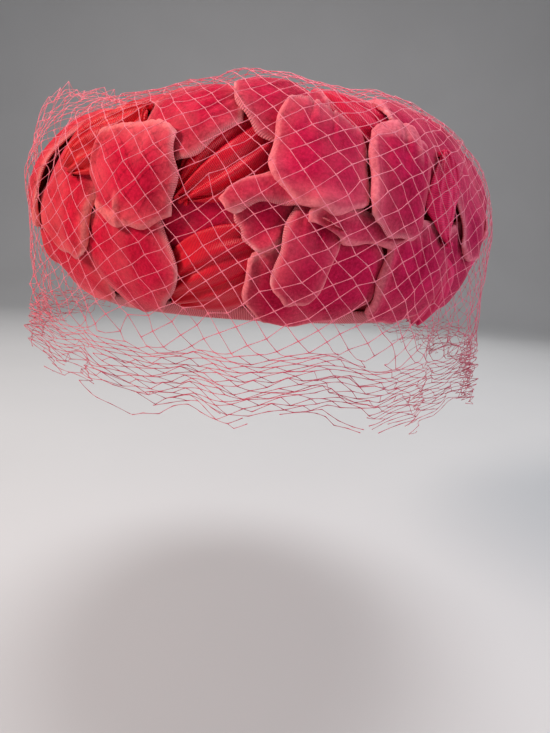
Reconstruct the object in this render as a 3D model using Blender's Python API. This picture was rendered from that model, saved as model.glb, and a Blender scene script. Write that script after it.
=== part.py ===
"""Pillbox hat: an open foundation shell under velvet ribbon petals, twisted faille ribbon loops between them,
a grosgrain band round the rim, and a coarse veil over all of it that falls past the rim.

Lengths are in millimetres and are scaled to metres at the end. +Z is up, the front of the hat faces -Y, and the
origin is the centre of the head opening, in the plane of the rim.

A place on the hat is (azimuth, rise, height): degrees round from the front towards +X, length up the outside
of the foundation from the rim, and distance out from it along its normal.
"""

import math

import bmesh
import bpy
import numpy as np
from mathutils import Vector
from mathutils.bvhtree import BVHTree

MM = 0.001

# Foundation: rows of (height, half width, half depth) from the rim up to the middle of the crown.
PROFILE = (
    (0.0, 77.0, 94.0),
    (10.0, 86.0, 101.0),
    (24.0, 93.5, 107.0),
    (40.0, 97.0, 110.0),
    (54.0, 96.0, 109.0),
    (66.0, 90.5, 103.5),
    (73.5, 80.0, 93.5),
    (76.0, 66.0, 79.0),
    (76.0, 45.0, 54.0),
    (74.5, 22.0, 26.5),
    (74.0, 0.01, 0.01),
)
SHELL_WALL = 2.0
SHELL_COLUMNS = 32
SHELL_RISES = (0.0, 7.5, 26.0, 45.0, 62.0, 75.0, 90.0, 130.0)

BAND_HEIGHT = 5.0
BAND_THICKNESS = 1.6
BAND_GAP = 0.6
BAND_COLUMNS = SHELL_COLUMNS

PETAL_WALL = 1.4
PETAL_GRID = (5, 5)
SMALL_PETAL = 33.5
NOSE_ROUND = 0.13
ROOT_ROUND = 0.10
RIBBON_WALL = 1.2
LOOP_GRID = (3, 5)
LAYER_GAP = 0.5
RAY_AZIMUTH_STEP = 1.5
RAY_RISE_STEP = 2.0

# Velvet petals, lowest layer first. turn is the way the nose points, in degrees from straight down towards +azimuth;
# root is the width at the root as a share of the width; lobes is how many petals one ribbon is gathered into.
PETAL_COLUMNS = ("name", "azimuth", "rise", "length", "width", "turn", "root", "lift", "puff", "curl", "lobes")
PETALS = (
    ("velvet_front_01", -12, 39, 34, 46, 60, 0.9, 3.0, 4.0, 0.5, 1),
    ("velvet_front_02", 14, 20, 33, 54, 13, 0.9, 2.5, 4.5, 0.8, 1),
    ("velvet_front_03", 56, 27, 40, 40, 20, 0.9, 2.5, 5.0, 0.8, 1),
    ("velvet_front_04", -50, 26, 42, 44, -12, 0.9, 2.5, 5.0, 0.8, 1),
    ("velvet_front_05", -27, 25, 40, 44, 32, 0.9, 3.5, 6.0, 1.2, 1),
    ("velvet_front_06", 10, 32, 33, 19, -16, 0.9, 4.5, 6.0, 1.2, 1),
    ("velvet_front_07", 36, 24, 38, 32, 10, 0.9, 3.5, 6.0, 1.2, 1),
    ("velvet_front_08", 4, 74, 27, 29, -44, 0.9, 2.0, 4.0, 1.0, 1),
    ("velvet_front_09", -14, 72, 33, 36, -60, 0.9, 2.5, 4.5, 1.2, 1),
    ("velvet_front_10", 39, 73, 40, 44, -38, 0.9, 3.0, 5.0, 1.2, 1),
    ("velvet_front_11", 59, 57, 46, 40, 10, 0.9, 3.0, 5.0, 1.2, 1),
    ("velvet_front_12", -43, 48, 44, 38, -18, 0.9, 3.5, 6.0, 1.2, 1),
    ("velvet_front_13", -22.5, 50, 28, 36, -3, 0.95, 4.5, 7.0, 1.5, 1),
    ("velvet_front_14", 11.5, 57, 27.5, 33, -9, 0.95, 5.0, 6.5, 1.5, 1),
    ("velvet_front_15", 27, 53, 31, 28.5, -9, 0.95, 4.5, 6.5, 1.5, 1),
    ("velvet_front_16", 2.5, 41, 20, 18, -58, 0.7, 5.0, 4.0, 0.8, 1),
    ("velvet_front_17", 3, 45, 31, 8, -88, 0.6, 6.0, 3.0, 0.8, 1),
    ("velvet_front_18", 20, 41, 40, 10, 88, 0.6, 5.5, 3.0, 0.8, 1),
    ("velvet_side_01", 83, 26, 44, 84, 4, 0.95, 2.5, 5.0, 1.0, 2),
    ("velvet_side_02", 124, 26, 44, 84, -6, 0.95, 2.5, 5.0, 1.0, 2),
    ("velvet_side_03", 164, 26, 44, 84, 5, 0.95, 2.5, 5.0, 1.0, 2),
    ("velvet_side_04", 203, 26, 44, 84, -4, 0.95, 2.5, 5.0, 1.0, 2),
    ("velvet_side_05", 243, 26, 44, 84, 6, 0.95, 2.5, 5.0, 1.0, 2),
    ("velvet_side_06", 282, 26, 44, 72, -5, 0.95, 2.5, 5.0, 1.0, 2),
    ("velvet_side_07", 92, 61, 50, 74, -7, 0.95, 3.5, 5.5, 1.4, 2),
    ("velvet_side_08", 133, 61, 50, 74, 5, 0.95, 3.5, 5.5, 1.4, 2),
    ("velvet_side_09", 174, 61, 50, 76, -5, 0.95, 3.5, 5.5, 1.4, 2),
    ("velvet_side_10", 215, 61, 50, 74, 6, 0.95, 3.5, 5.5, 1.4, 2),
    ("velvet_side_11", 256, 61, 50, 74, -6, 0.95, 3.5, 5.5, 1.4, 2),
    ("velvet_side_12", 291.5, 61, 50, 71, 4, 0.95, 2.5, 5.0, 1.4, 2),
    ("velvet_top_01", 20, 106, 52, 88, 6, 0.7, 2.0, 4.5, 1.0, 2),
    ("velvet_top_02", 92, 106, 52, 92, -5, 0.7, 2.0, 4.5, 1.0, 2),
    ("velvet_top_03", 164, 106, 52, 90, 5, 0.7, 2.0, 4.5, 1.0, 2),
    ("velvet_top_04", 236, 106, 52, 92, -6, 0.7, 2.0, 4.5, 1.0, 2),
    ("velvet_top_05", 308, 106, 52, 90, 5, 0.7, 2.0, 4.5, 1.0, 2),
    ("velvet_top_06", 50, 142, 52, 58, 10, 0.6, 3.0, 4.0, 1.0, 1),
    ("velvet_top_07", 140, 142, 52, 58, -8, 0.6, 3.0, 4.0, 1.0, 1),
    ("velvet_top_08", 230, 142, 52, 58, 9, 0.6, 3.0, 4.0, 1.0, 1),
    ("velvet_top_09", 320, 142, 52, 58, -10, 0.6, 3.0, 4.0, 1.0, 1),
)

# Faille ribbon loops: a soft tube of pleats from one end to the other, pinched where it is twisted.
LOOP_COLUMNS = ("name", "azimuth", "rise", "length", "width", "turn", "pinch", "lift", "puff", "twisted")
LOOPS = (
    ("faille_front_01", -32.5, 64.5, 34, 24, -50, 0.6, 3.0, 5.5, False),
    ("faille_front_02", -3, 60, 50, 27, -51, 0.75, 4.0, 4.0, False),
    ("faille_front_03", 21, 76, 34, 24, 60, 0.8, 3.0, 5.0, False),
    ("faille_front_04", 41.5, 51, 28, 21, 12, 0.7, 3.5, 5.0, False),
    ("faille_front_05", -6, 21, 48, 30, -68, 0.45, 3.5, 5.0, False),
    ("faille_front_06", 48, 19, 34, 24, 36, 0.7, 3.0, 5.0, False),
    ("faille_front_07", -60, 42, 36, 22, -30, 0.7, 3.0, 5.0, False),
    ("faille_side_01", 72, 52, 44, 22, 20, 0.6, 4.0, 5.0, True),
    ("faille_side_02", 112, 54, 48, 24, -12, 0.6, 4.0, 5.0, True),
    ("faille_side_03", 195, 54, 48, 24, 12, 0.6, 4.0, 5.0, True),
    ("faille_side_04", 236, 54, 48, 24, -12, 0.6, 4.0, 5.0, True),
    ("faille_top_01", 0, 166, 34, 28, 20, 0.6, 3.0, 4.0, True),
)

# The order in which the pieces are laid, each over all those before it.
LAYERS = (
    "velvet_front_01", "velvet_side_01", "velvet_side_03", "velvet_side_05",
    "velvet_side_02", "velvet_side_04", "velvet_side_06", "faille_front_07", "faille_front_05",
    "velvet_front_02",
    "velvet_front_04", "velvet_front_03", "faille_front_06", "velvet_front_05", "velvet_front_07",
    "faille_side_01", "faille_side_02", "faille_side_03", "faille_side_04",
    "velvet_top_01", "velvet_top_03", "velvet_top_05", "velvet_top_02", "velvet_top_04",
    "faille_front_03", "faille_front_02",
    "velvet_front_11", "velvet_front_12", "velvet_front_09", "faille_front_01", "velvet_front_08", "velvet_front_10",
    "velvet_side_07", "velvet_side_09", "velvet_side_11", "velvet_side_12", "velvet_side_08", "velvet_side_10",
    "faille_front_04", "velvet_front_16", "velvet_front_06", "velvet_front_17", "velvet_front_18",
    "velvet_front_13", "velvet_front_14", "velvet_front_15",
    "velvet_top_06", "velvet_top_08", "velvet_top_07", "velvet_top_09", "faille_top_01",
)

# Veil: rings of knots. Those of the crown lie on the petals, each at a rise; those of the fall hang down from the
# parting between the two, each at a share of the way to the hem.
VEIL_KNOTS = 30
VEIL_WIRE = 0.9
VEIL_CLEARANCE = 1.6
VEIL_PARTING = 50.0
VEIL_RISES = (VEIL_PARTING, 80.0, 114.0, 147.0)
VEIL_FALL = (0.0, 0.36, 0.70, 1.0)
VEIL_PUFF = 20.0
VEIL_PUFF_AZIMUTH = 280.0
VEIL_PUFF_RISE = 78.0


def catmull(rows, parts):
    """Points of a smooth curve through the rows."""
    rows = np.array(rows, float)
    found = []
    for i in range(len(rows) - 1):
        a = rows[max(i - 1, 0)]
        b, c = rows[i], rows[i + 1]
        d = rows[min(i + 2, len(rows) - 1)]
        for k in range(parts):
            t = k / parts
            cubic = (3 * b - a - 3 * c + d) * t**3
            found.append(0.5 * (2 * b + (c - a) * t + (2 * a - 5 * b + 4 * c - d) * t * t + cubic))
    found.append(rows[-1])
    return np.array(found)


CURVE = catmull(PROFILE, 16)
MEAN_RADIUS = (CURVE[:, 1] + CURVE[:, 2]) / 2
STEPS = np.hypot(np.diff(MEAN_RADIUS), np.diff(CURVE[:, 0]))
RISE = np.concatenate([[0.0], np.cumsum(STEPS)])
WHOLE_RISE = RISE[-1]
FLAT_FROM = 92.0


def on_foundation(azimuth, rise):
    """Points on the outside of the foundation."""
    rise = np.clip(rise, 0.0, WHOLE_RISE)
    angle = np.radians(azimuth)
    height, wide, deep = (np.interp(rise, RISE, CURVE[:, k]) for k in range(3))
    return np.stack([wide * np.sin(angle), -deep * np.cos(angle), height + 0 * angle], -1)


def normals(azimuth, rise):
    """Outward unit normals of the foundation."""
    round_it = on_foundation(azimuth + 0.1, rise) - on_foundation(azimuth - 0.1, rise)
    up = on_foundation(azimuth, np.minimum(rise + 3, WHOLE_RISE)) - on_foundation(azimuth, np.maximum(rise - 3, 0))
    out = np.cross(round_it, up)
    return out / np.maximum(np.linalg.norm(out, axis=-1, keepdims=True), 1e-9)


def place(azimuth, rise, height):
    """Points at a height above the foundation."""
    azimuth, rise, height = np.broadcast_arrays(*(np.asarray(v, float) for v in (azimuth, rise, height)))
    return on_foundation(azimuth, rise) + normals(azimuth, rise) * height[..., None]


def spread(azimuth, rise, across, along):
    """(azimuth, rise) of points laid out flat round a place, across and along in millimetres, along running down."""
    if rise < FLAT_FROM:
        here = place(azimuth + np.array([-0.5, 0.5]), rise, 8.0)
        per_degree = np.linalg.norm(here[1] - here[0])
        return azimuth + across / per_degree, rise - along
    radius = WHOLE_RISE - rise
    x, y = across, radius + along
    return azimuth + np.degrees(np.arctan2(x, y)), WHOLE_RISE - np.hypot(x, y)


def flat_grid(columns, rows):
    """A flat grid mesh with its (u, v): u from -1 to 1 across, v from 0 at the root to 1 at the nose."""
    sheet = bmesh.new()
    bmesh.ops.create_grid(sheet, x_segments=columns, y_segments=rows, size=1.0)
    places = np.array([vertex.co[:] for vertex in sheet.verts])
    return sheet, places[:, 0], (1 - places[:, 1]) / 2


def petal_surface(row, u, v):
    """(azimuth, rise, height) over one petal."""
    p = dict(zip(PETAL_COLUMNS, row))
    lobe = (u + 1) / 2 * p["lobes"]
    lobe = 2 * (lobe - np.clip(np.floor(lobe), 0, p["lobes"] - 1)) - 1
    share = p["root"] + (1 - p["root"]) * np.sin(np.pi / 2 * np.minimum(1.0, v / 0.6))
    across = u * p["width"] / 2 * share * (1 - 0.10 * v**6)
    along = (v - 0.5) * p["length"]
    along -= p["length"] * NOSE_ROUND * np.abs(lobe) ** 2.5 * np.clip(2 * v - 1, 0, 1)
    along += p["length"] * ROOT_ROUND * np.abs(lobe) ** 3 * np.clip(1 - 2 * v, 0, 1)
    azimuth, rise = turned(p, across, along)
    dome = (1 - np.abs(lobe) ** 3.2) * np.sin(np.pi * (0.14 + 0.76 * v)) ** 0.8
    height = p["lift"] + p["puff"] * dome + p["curl"] * np.abs(u) ** 4 * np.sin(np.pi * v)
    return azimuth, rise, height + PETAL_WALL


def loop_surface(row, u, v):
    """(azimuth, rise, height) over one ribbon loop, which is narrow at its ends or, where it is twisted, at its waist."""
    p = dict(zip(LOOP_COLUMNS, row))
    middle = np.abs(2 * v - 1)
    if p["twisted"]:
        share = 1 - 0.8 * p["pinch"] * (1 - middle**1.5)
    else:
        share = 1 - p["pinch"] * middle**2
    across = u * p["width"] / 2 * share
    along = (v - 0.5) * p["length"] * (1 - 0.10 * u * u)
    azimuth, rise = turned(p, across, along)
    pleats = 0.25 * np.cos(3 * np.pi * u + 2.0 * v) * (1 - u**4)
    dome = (1 - np.abs(u) ** 2.2) * (0.55 + 0.45 * np.sin(np.pi * v)) + pleats
    return azimuth, rise, p["lift"] + p["puff"] * dome + RIBBON_WALL


def turned(p, across, along):
    """(azimuth, rise) of a piece's own points, once it is turned."""
    turn = math.radians(p["turn"])
    x = across * math.cos(turn) + along * math.sin(turn)
    y = along * math.cos(turn) - across * math.sin(turn)
    return spread(p["azimuth"], p["rise"], x, y)


def points_of(shape):
    return np.array([vertex.co[:] for vertex in shape.verts])


def move_to(shape, points):
    for vertex, point in zip(shape.verts, points):
        vertex.co = point


def thicken(sheet, wall):
    """Gives a sheet its cloth wall, inwards."""
    bmesh.ops.recalc_face_normals(sheet, faces=sheet.faces[:])
    bmesh.ops.solidify(sheet, geom=sheet.faces[:], thickness=wall)
    bmesh.ops.triangulate(sheet, faces=sheet.faces[:])
    sheet.verts.index_update()
    sheet.faces.index_update()
    sheet.faces.ensure_lookup_table()


class Laid:
    """The pieces laid so far, and the rays out of the foundation that find how high they reach."""

    def __init__(self):
        self.azimuths = np.arange(0.0, 360.0, RAY_AZIMUTH_STEP)
        self.rises = np.arange(1.0, WHOLE_RISE - 1, RAY_RISE_STEP)
        grid = np.meshgrid(self.azimuths, self.rises, indexing="ij")
        self.start = on_foundation(*grid)
        self.out = normals(*grid)
        self.height = np.zeros(grid[0].shape)
        self.trees = []

    def rays_near(self, points):
        """Index, start and direction of each ray that starts under the box of these points."""
        low, high = points.min(axis=0) - 16, points.max(axis=0) + 16
        near = ((self.start > low) & (self.start < high)).all(axis=2)
        for i, j in np.argwhere(near):
            yield (i, j), Vector(self.start[i, j]), Vector(self.out[i, j])

    def add(self, shape):
        tree = BVHTree.FromBMesh(shape)
        for ray, start, out in self.rays_near(points_of(shape)):
            hit, _, _, distance = tree.ray_cast(start + out * 60, -out, 62.0)
            if hit is not None:
                self.height[ray] = max(self.height[ray], 60 - distance)
        self.trees.append(tree)


def settle(laid, columns, rows, surface, row, wall):
    """A cloth piece laid over the pieces before it, raised where it would cut into one of them."""
    sheet, u, v = flat_grid(columns, rows)
    azimuth, rise, height = surface(row, u, v)
    sheet.free()
    for _ in range(60):
        piece, _, _ = flat_grid(columns, rows)
        outside = place(azimuth, rise, height)
        move_to(piece, outside)
        thicken(piece, wall)
        points = points_of(piece)
        nearest = np.linalg.norm(points[:, None] - outside[None], axis=2).argmin(axis=1)
        tree = BVHTree.FromBMesh(piece)
        need = np.zeros(len(height))
        for ray, start, out in laid.rays_near(points):
            hit, _, face, distance = tree.ray_cast(start - out * 2, out, 60.0)
            short = 0.0 if hit is None else laid.height[ray] + LAYER_GAP - (distance - 2)
            if short > 0.01:
                for vertex in piece.faces[face].verts:
                    corner = nearest[vertex.index]
                    need[corner] = max(need[corner], short)
        for other in laid.trees:
            for face, _ in tree.overlap(other):
                for vertex in piece.faces[face].verts:
                    corner = nearest[vertex.index]
                    need[corner] = max(need[corner], 0.35)
        if not need.any():
            break
        height = height + need
        piece.free()
    return piece


def ring(shape, azimuths, rise, height, drop=None):
    """A closed ring of vertices and edges round the hat, in order."""
    points = place(azimuths, rise, height)
    if drop is not None:
        points[:, 2] = drop
    made = bmesh.ops.create_circle(shape, segments=len(points), radius=1.0, cap_ends=False)["verts"]
    for vertex, point in zip(made, points):
        vertex.co = point
    return made


def loft(shape, rings, closed):
    """Quads from each ring to the next, column by column, and from the last to the first where it closes."""
    pairs = list(zip(rings, rings[1:] + rings[:1])) if closed else list(zip(rings, rings[1:]))
    for a, b in pairs:
        for i in range(len(a)):
            shape.faces.new((a[i - 1], a[i], b[i], b[i - 1]))


def foundation_shell():
    """The open shell: rings up to the crown, closed over the top, with a wall of even thickness inwards."""
    shape = bmesh.new()
    azimuths = np.arange(SHELL_COLUMNS) * 360.0 / SHELL_COLUMNS
    rings = [ring(shape, azimuths, rise, 0.0) for rise in SHELL_RISES]
    loft(shape, rings, closed=False)
    shape.faces.new(rings[-1])
    thicken(shape, SHELL_WALL)
    for vertex in shape.verts:
        if vertex.co.z < SHELL_WALL:
            vertex.co.z = 0.0
    return shape


def rim_band():
    """The grosgrain binding: a U section round the shell's edge."""
    out, under, cloth, high = BAND_GAP, -SHELL_WALL - 1.6 * BAND_GAP, BAND_THICKNESS, BAND_HEIGHT
    section = (
        (high, out, None),
        (high, out + cloth * 0.7, None),
        (0.5, out + cloth, -BAND_GAP - cloth),
        (0.5, under - cloth, -BAND_GAP - cloth),
        (high, under - cloth * 0.7, None),
        (high, under, None),
        (0.5, under, -BAND_GAP),
        (0.5, out, -BAND_GAP),
    )
    shape = bmesh.new()
    azimuths = np.arange(BAND_COLUMNS) * 360.0 / BAND_COLUMNS
    loft(shape, [ring(shape, azimuths, *corner) for corner in section], closed=True)
    bmesh.ops.recalc_face_normals(shape, faces=shape.faces[:])
    bmesh.ops.triangulate(shape, faces=shape.faces[:])
    return shape


def material(name, colour, roughness, sheen=0.0):
    made = bpy.data.materials.new(name)
    made.use_nodes = True
    shader = made.node_tree.nodes["Principled BSDF"]
    shader.inputs["Base Color"].default_value = (*colour, 1.0)
    shader.inputs["Roughness"].default_value = roughness
    shader.inputs["Metallic"].default_value = 0.0
    shader.inputs["Sheen Weight"].default_value = sheen
    made.diffuse_color = (*colour, 1.0)
    return made


def add_object(name, shape, finish):
    """A named object in metres from a bmesh in millimetres."""
    bmesh.ops.scale(shape, vec=(MM, MM, MM), verts=shape.verts[:])
    mesh = bpy.data.meshes.new(name)
    shape.to_mesh(mesh)
    shape.free()
    mesh.materials.append(finish)
    mesh.shade_smooth()
    mesh.set_sharp_from_angle(angle=math.radians(50))
    made = bpy.data.objects.new(name, mesh)
    bpy.context.scene.collection.objects.link(made)


def hem_height(azimuth):
    """Height of the veil's lower edge: lowest at the front and on the +X side, shortest at the back."""
    angle = np.radians(azimuth)
    wave = 2.5 * np.sin(5 * angle + 0.6) + 1.5 * np.sin(9 * angle)
    return -21.0 - 12.0 * np.cos(angle) - 7.0 * np.sin(angle) + wave


def puff(azimuth, rise):
    """How far the veil stands off in the loose puff on the -X side."""
    away = (np.asarray(azimuth, float) - VEIL_PUFF_AZIMUTH + 180) % 360 - 180
    return VEIL_PUFF * np.exp(-((away / 17.0) ** 2) - ((rise - VEIL_PUFF_RISE) / 17.0) ** 2)


def on_petals(laid, azimuth, rise):
    """(point, outward direction) just clear of the highest petal round a place."""
    i = np.abs((laid.azimuths - azimuth + 180) % 360 - 180) < 4
    j = np.abs(laid.rises - rise) < 5
    high = laid.height[np.ix_(i, j)].max() + VEIL_CLEARANCE + puff(azimuth, rise)
    return place(azimuth, rise, high), normals(np.float64(azimuth), np.float64(rise))


def on_fall(laid, azimuth, share):
    """(point, outward direction) of the hanging veil, from its top at share 0 to its hem at share 1."""
    i = np.abs((laid.azimuths - azimuth + 180) % 360 - 180) < 9
    j = (laid.rises > 14) & (laid.rises < 70)
    high = laid.height[np.ix_(i, j)].max() + VEIL_CLEARANCE
    widest = place(azimuth, 44.0, high)
    angle = math.radians(azimuth)
    out = np.array([math.sin(angle), -math.cos(angle), 0.0])
    top = place(azimuth, VEIL_PARTING - 1.6, high)[2]
    point = widest + out * (1.2 * math.sin(math.radians(7 * azimuth)) - 3.0 * share)
    point[2] = top + (hem_height(azimuth) - top) * share
    return point, out


def net(where, levels, between):
    """(points, directions, faces) of a diamond net: where(azimuth, level) places a knot or a strand's middle."""
    step = 360.0 / VEIL_KNOTS
    points, out, faces, middles = [], [], [], {}

    def add(azimuth, level):
        point, direction = where(azimuth, level)
        points.append(point)
        out.append(direction)
        return len(points) - 1

    knots = [[add((i + 0.5 * (k % 2)) * step, level) for i in range(VEIL_KNOTS)] for k, level in enumerate(levels)]

    def strand(k, i, m, j):
        """Corners along the strand from knot i of ring k to knot j of ring m, without the last."""
        a, b = knots[k][i % VEIL_KNOTS], knots[m][j % VEIL_KNOTS]
        if not between:
            return [a]
        key = (min(a, b), max(a, b))
        if key not in middles:
            azimuth = (i + 0.5 * (k % 2) + j + 0.5 * (m % 2)) / 2 * step
            middles[key] = add(azimuth, (levels[k] + levels[m]) / 2)
        return [a, middles[key]]

    for k in range(1, len(levels) - 1):
        for i in range(VEIL_KNOTS):
            c = i + k % 2
            corners = strand(k - 1, c, k, i + 1) + strand(k, i + 1, k + 1, c)
            corners += strand(k + 1, c, k, i) + strand(k, i, k - 1, c)
            faces.append(corners)
    return np.array(points), np.array(out), faces


def wires(points, out, faces):
    """The solid strands along the edges of a net, each with a ridge outside, one inside and one in each gap."""
    half = VEIL_WIRE / 2
    count = len(points)
    made = [points + out * half, points - out * half]
    found = []
    sides = {}
    for face in faces:
        ring = points[face]
        ahead = np.roll(ring, -1, axis=0) - ring
        ahead /= np.linalg.norm(ahead, axis=1, keepdims=True)
        inward = np.cross(out[face], ahead)
        inward /= np.linalg.norm(inward, axis=1, keepdims=True)
        behind = np.roll(inward, 1, axis=0)
        share = np.maximum(1 + (inward * behind).sum(axis=1, keepdims=True), 0.4)
        first = 2 * count + len(sides)
        made.append(ring + half * (inward + behind) / share)
        for k, a in enumerate(face):
            m = (k + 1) % len(face)
            b = face[m]
            found.append((a, b, first + m, first + k))
            found.append((count + b, count + a, first + k, first + m))
            sides[(a, b, first + k)] = None
    edges = {(a, b) for a, b, _ in sides}
    found += [(b, a, count + a, count + b) for a, b in sorted(edges) if (b, a) not in edges]
    shape = bmesh.new()
    corners = [shape.verts.new(point) for point in np.concatenate(made)]
    for face in found:
        shape.faces.new([corners[c] for c in face])
    bmesh.ops.triangulate(shape, faces=shape.faces[:])
    shape.faces.ensure_lookup_table()
    return shape


def settle_net(laid, where, levels, between):
    """The solid strands of a net, moved outwards where one would cut into what is laid."""
    points, out, faces = net(where, levels, between)
    for _ in range(80):
        shape = wires(points, out, faces)
        tree = BVHTree.FromBMesh(shape)
        hit = {face for other in laid.trees for face, _ in tree.overlap(other)}
        if not hit:
            break
        centres = np.array([shape.faces[face].calc_center_median()[:] for face in sorted(hit)])
        away = np.linalg.norm(points[:, None] - centres[None], axis=2)
        touched = sorted(set(away.argmin(axis=0)) | set(np.flatnonzero((away < 9).any(axis=1))))
        points[touched] += out[touched] * 0.4
        shape.free()
    return shape


def main():
    for old in list(bpy.data.objects):
        bpy.data.objects.remove(old, do_unlink=True)

    velvet = material("crimson_velvet", (0.52, 0.030, 0.075), 0.85, 0.6)
    faille = material("scarlet_faille", (0.62, 0.008, 0.020), 0.38)
    buckram = material("red_foundation", (0.40, 0.030, 0.050), 0.90)
    grosgrain = material("rose_grosgrain", (0.62, 0.120, 0.160), 0.60)
    thread = material("pink_veil_thread", (0.80, 0.170, 0.260), 0.55)

    laid = Laid()
    shell = foundation_shell()
    laid.trees.append(BVHTree.FromBMesh(shell))
    add_object("crown_base", shell, buckram)
    band = rim_band()
    laid.add(band)
    add_object("rim_band", band, grosgrain)

    petals = {row[0]: row for row in PETALS}
    loops = {row[0]: row for row in LOOPS}
    for name in LAYERS:
        if name in loops:
            piece = settle(laid, *LOOP_GRID, loop_surface, loops[name], RIBBON_WALL)
            laid.add(piece)
            add_object(name, piece, faille)
            continue
        lobes, width = petals[name][-1], petals[name][4]
        grid = (4 * lobes, 4) if lobes > 1 or width < SMALL_PETAL else PETAL_GRID
        piece = settle(laid, *grid, petal_surface, petals[name], PETAL_WALL)
        laid.add(piece)
        add_object(name, piece, velvet)

    crown = settle_net(laid, lambda azimuth, rise: on_petals(laid, azimuth, rise), VEIL_RISES, True)
    fall = settle_net(laid, lambda azimuth, share: on_fall(laid, azimuth, share), VEIL_FALL, False)
    add_object("veil_crown", crown, thread)
    add_object("veil_fall", fall, thread)


main()
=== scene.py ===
# %% [markdown]
# # A pillbox hat in velvet and faille under a veil
# The real hat is a stiff oval shell with a bound rim. Ribbon petals and loops are sewn over it like roof
# tiles, and a fine net covers everything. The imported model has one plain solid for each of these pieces. It
# is loaded first and never changed. Each solid is then replaced by finer cloth that keeps its place and
# form, and each cloth gets its own procedural material.

import math

import bmesh
import bpy
import numpy as np
from mathutils import Euler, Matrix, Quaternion, Vector
from mathutils.bvhtree import BVHTree


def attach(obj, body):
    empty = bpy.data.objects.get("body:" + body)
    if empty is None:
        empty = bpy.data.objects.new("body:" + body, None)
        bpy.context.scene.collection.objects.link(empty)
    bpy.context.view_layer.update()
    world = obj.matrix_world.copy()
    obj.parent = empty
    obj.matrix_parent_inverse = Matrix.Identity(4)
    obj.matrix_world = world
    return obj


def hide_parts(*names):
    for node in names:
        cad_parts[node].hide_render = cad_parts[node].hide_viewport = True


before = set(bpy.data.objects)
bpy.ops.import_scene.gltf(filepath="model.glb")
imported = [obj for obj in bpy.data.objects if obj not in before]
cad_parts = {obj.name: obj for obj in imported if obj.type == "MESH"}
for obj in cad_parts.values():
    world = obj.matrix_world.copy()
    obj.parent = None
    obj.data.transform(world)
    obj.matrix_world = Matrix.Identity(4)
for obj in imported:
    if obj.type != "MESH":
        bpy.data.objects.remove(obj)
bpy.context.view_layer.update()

# %% [markdown]
# ## Camera and light
# The camera stands in front, level with the lower part of the hat, tilted a little down and rolled a
# little. Only the ratio of the focal length to the picture's height matters for the view, so the lens is
# worked out from both in pixels. One lamp would leave the far side of the hat dark, so four large soft
# discs light it, warm from the left and cooler from the right.

# %% Camera and lights
MM = 0.001
PHOTO_HEIGHT = 733
FOCAL_PIXELS = 550
SENSOR = 36.0
CAMERA_PLACE = (0.010, -0.303, 0.0175)
CAMERA_PITCH = 80.0
CAMERA_ROLL = 3.5
LIGHT_TARGET = Vector((0.0, 0.0, 0.03))
WORLD_COLOUR = (0.84, 0.87, 0.90, 1.0)
WORLD_STRENGTH = 0.20

scene = bpy.context.scene
scene.view_settings.view_transform = "Standard"
lens = bpy.data.cameras.new("camera")
lens.sensor_width = SENSOR
lens.lens = FOCAL_PIXELS * SENSOR / PHOTO_HEIGHT
lens.clip_start = 0.01
camera = bpy.data.objects.new("camera", lens)
camera.location = CAMERA_PLACE
camera.rotation_mode = "QUATERNION"
pitch = Euler((math.radians(CAMERA_PITCH), 0.0, 0.0)).to_quaternion()
camera.rotation_quaternion = pitch @ Quaternion((0.0, 0.0, 1.0), math.radians(CAMERA_ROLL))
scene.collection.objects.link(camera)
scene.camera = camera

LIGHT_COLUMNS = ("name", "place", "size", "power", "colour")
LIGHTS = (
    ("key_left", (-1.60, -0.90, 1.00), 0.60, 42.0, (1.0, 0.85, 0.76)),
    ("fill_right", (1.75, -0.70, 0.60), 1.00, 20.0, (0.84, 0.88, 1.0)),
    ("top", (0.10, 0.05, 1.90), 0.90, 21.0, (1.0, 0.98, 0.98)),
    ("back", (0.2, 1.80, 0.9), 1.40, 9.0, (1.0, 0.98, 0.96)),
)
for row in LIGHTS:
    p = dict(zip(LIGHT_COLUMNS, row))
    lamp = bpy.data.lights.new(p["name"], "AREA")
    lamp.shape = "DISK"
    lamp.size = p["size"]
    lamp.energy = p["power"]
    lamp.color = p["colour"]
    lit = bpy.data.objects.new(p["name"], lamp)
    lit.location = p["place"]
    lit.rotation_mode = "QUATERNION"
    lit.rotation_quaternion = (LIGHT_TARGET - lit.location).to_track_quat("-Z", "Y")
    scene.collection.objects.link(lit)

world = bpy.data.worlds.new("studio")
world.use_nodes = True
background = world.node_tree.nodes["Background"]
background.inputs["Color"].default_value = WORLD_COLOUR
background.inputs["Strength"].default_value = WORLD_STRENGTH
scene.world = world
print("camera and", len(LIGHTS), "lights")

# %% [markdown]
# ## Places on the hat
# Nearly everything lies on one curved shell, so a place is given as someone sewing would find it: degrees
# round from the front (azimuth), millimetres up the shell from the rim (rise) and millimetres out from it
# (height). The shell's form is a short table of ovals with a smooth curve through them, as in the part's
# source.

# %% Form of the shell
# Each row is (height, half width, half depth) of one oval, from the rim to the middle of the crown.
PROFILE = (
    (0.0, 77.0, 94.0),
    (10.0, 86.0, 101.0),
    (24.0, 93.5, 107.0),
    (40.0, 97.0, 110.0),
    (54.0, 96.0, 109.0),
    (66.0, 90.5, 103.5),
    (73.5, 80.0, 93.5),
    (76.0, 66.0, 79.0),
    (76.0, 45.0, 54.0),
    (74.5, 22.0, 26.5),
    (74.0, 0.01, 0.01),
)
SHELL_WALL = 2.0
CURVE_PARTS = 16
# Above this rise the crown is measured as a flat plate, because its degrees get too short.
FLAT_FROM = 92.0
# Widths are measured at about the height of the cloth.
TYPICAL_HEIGHT = 8.0


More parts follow.
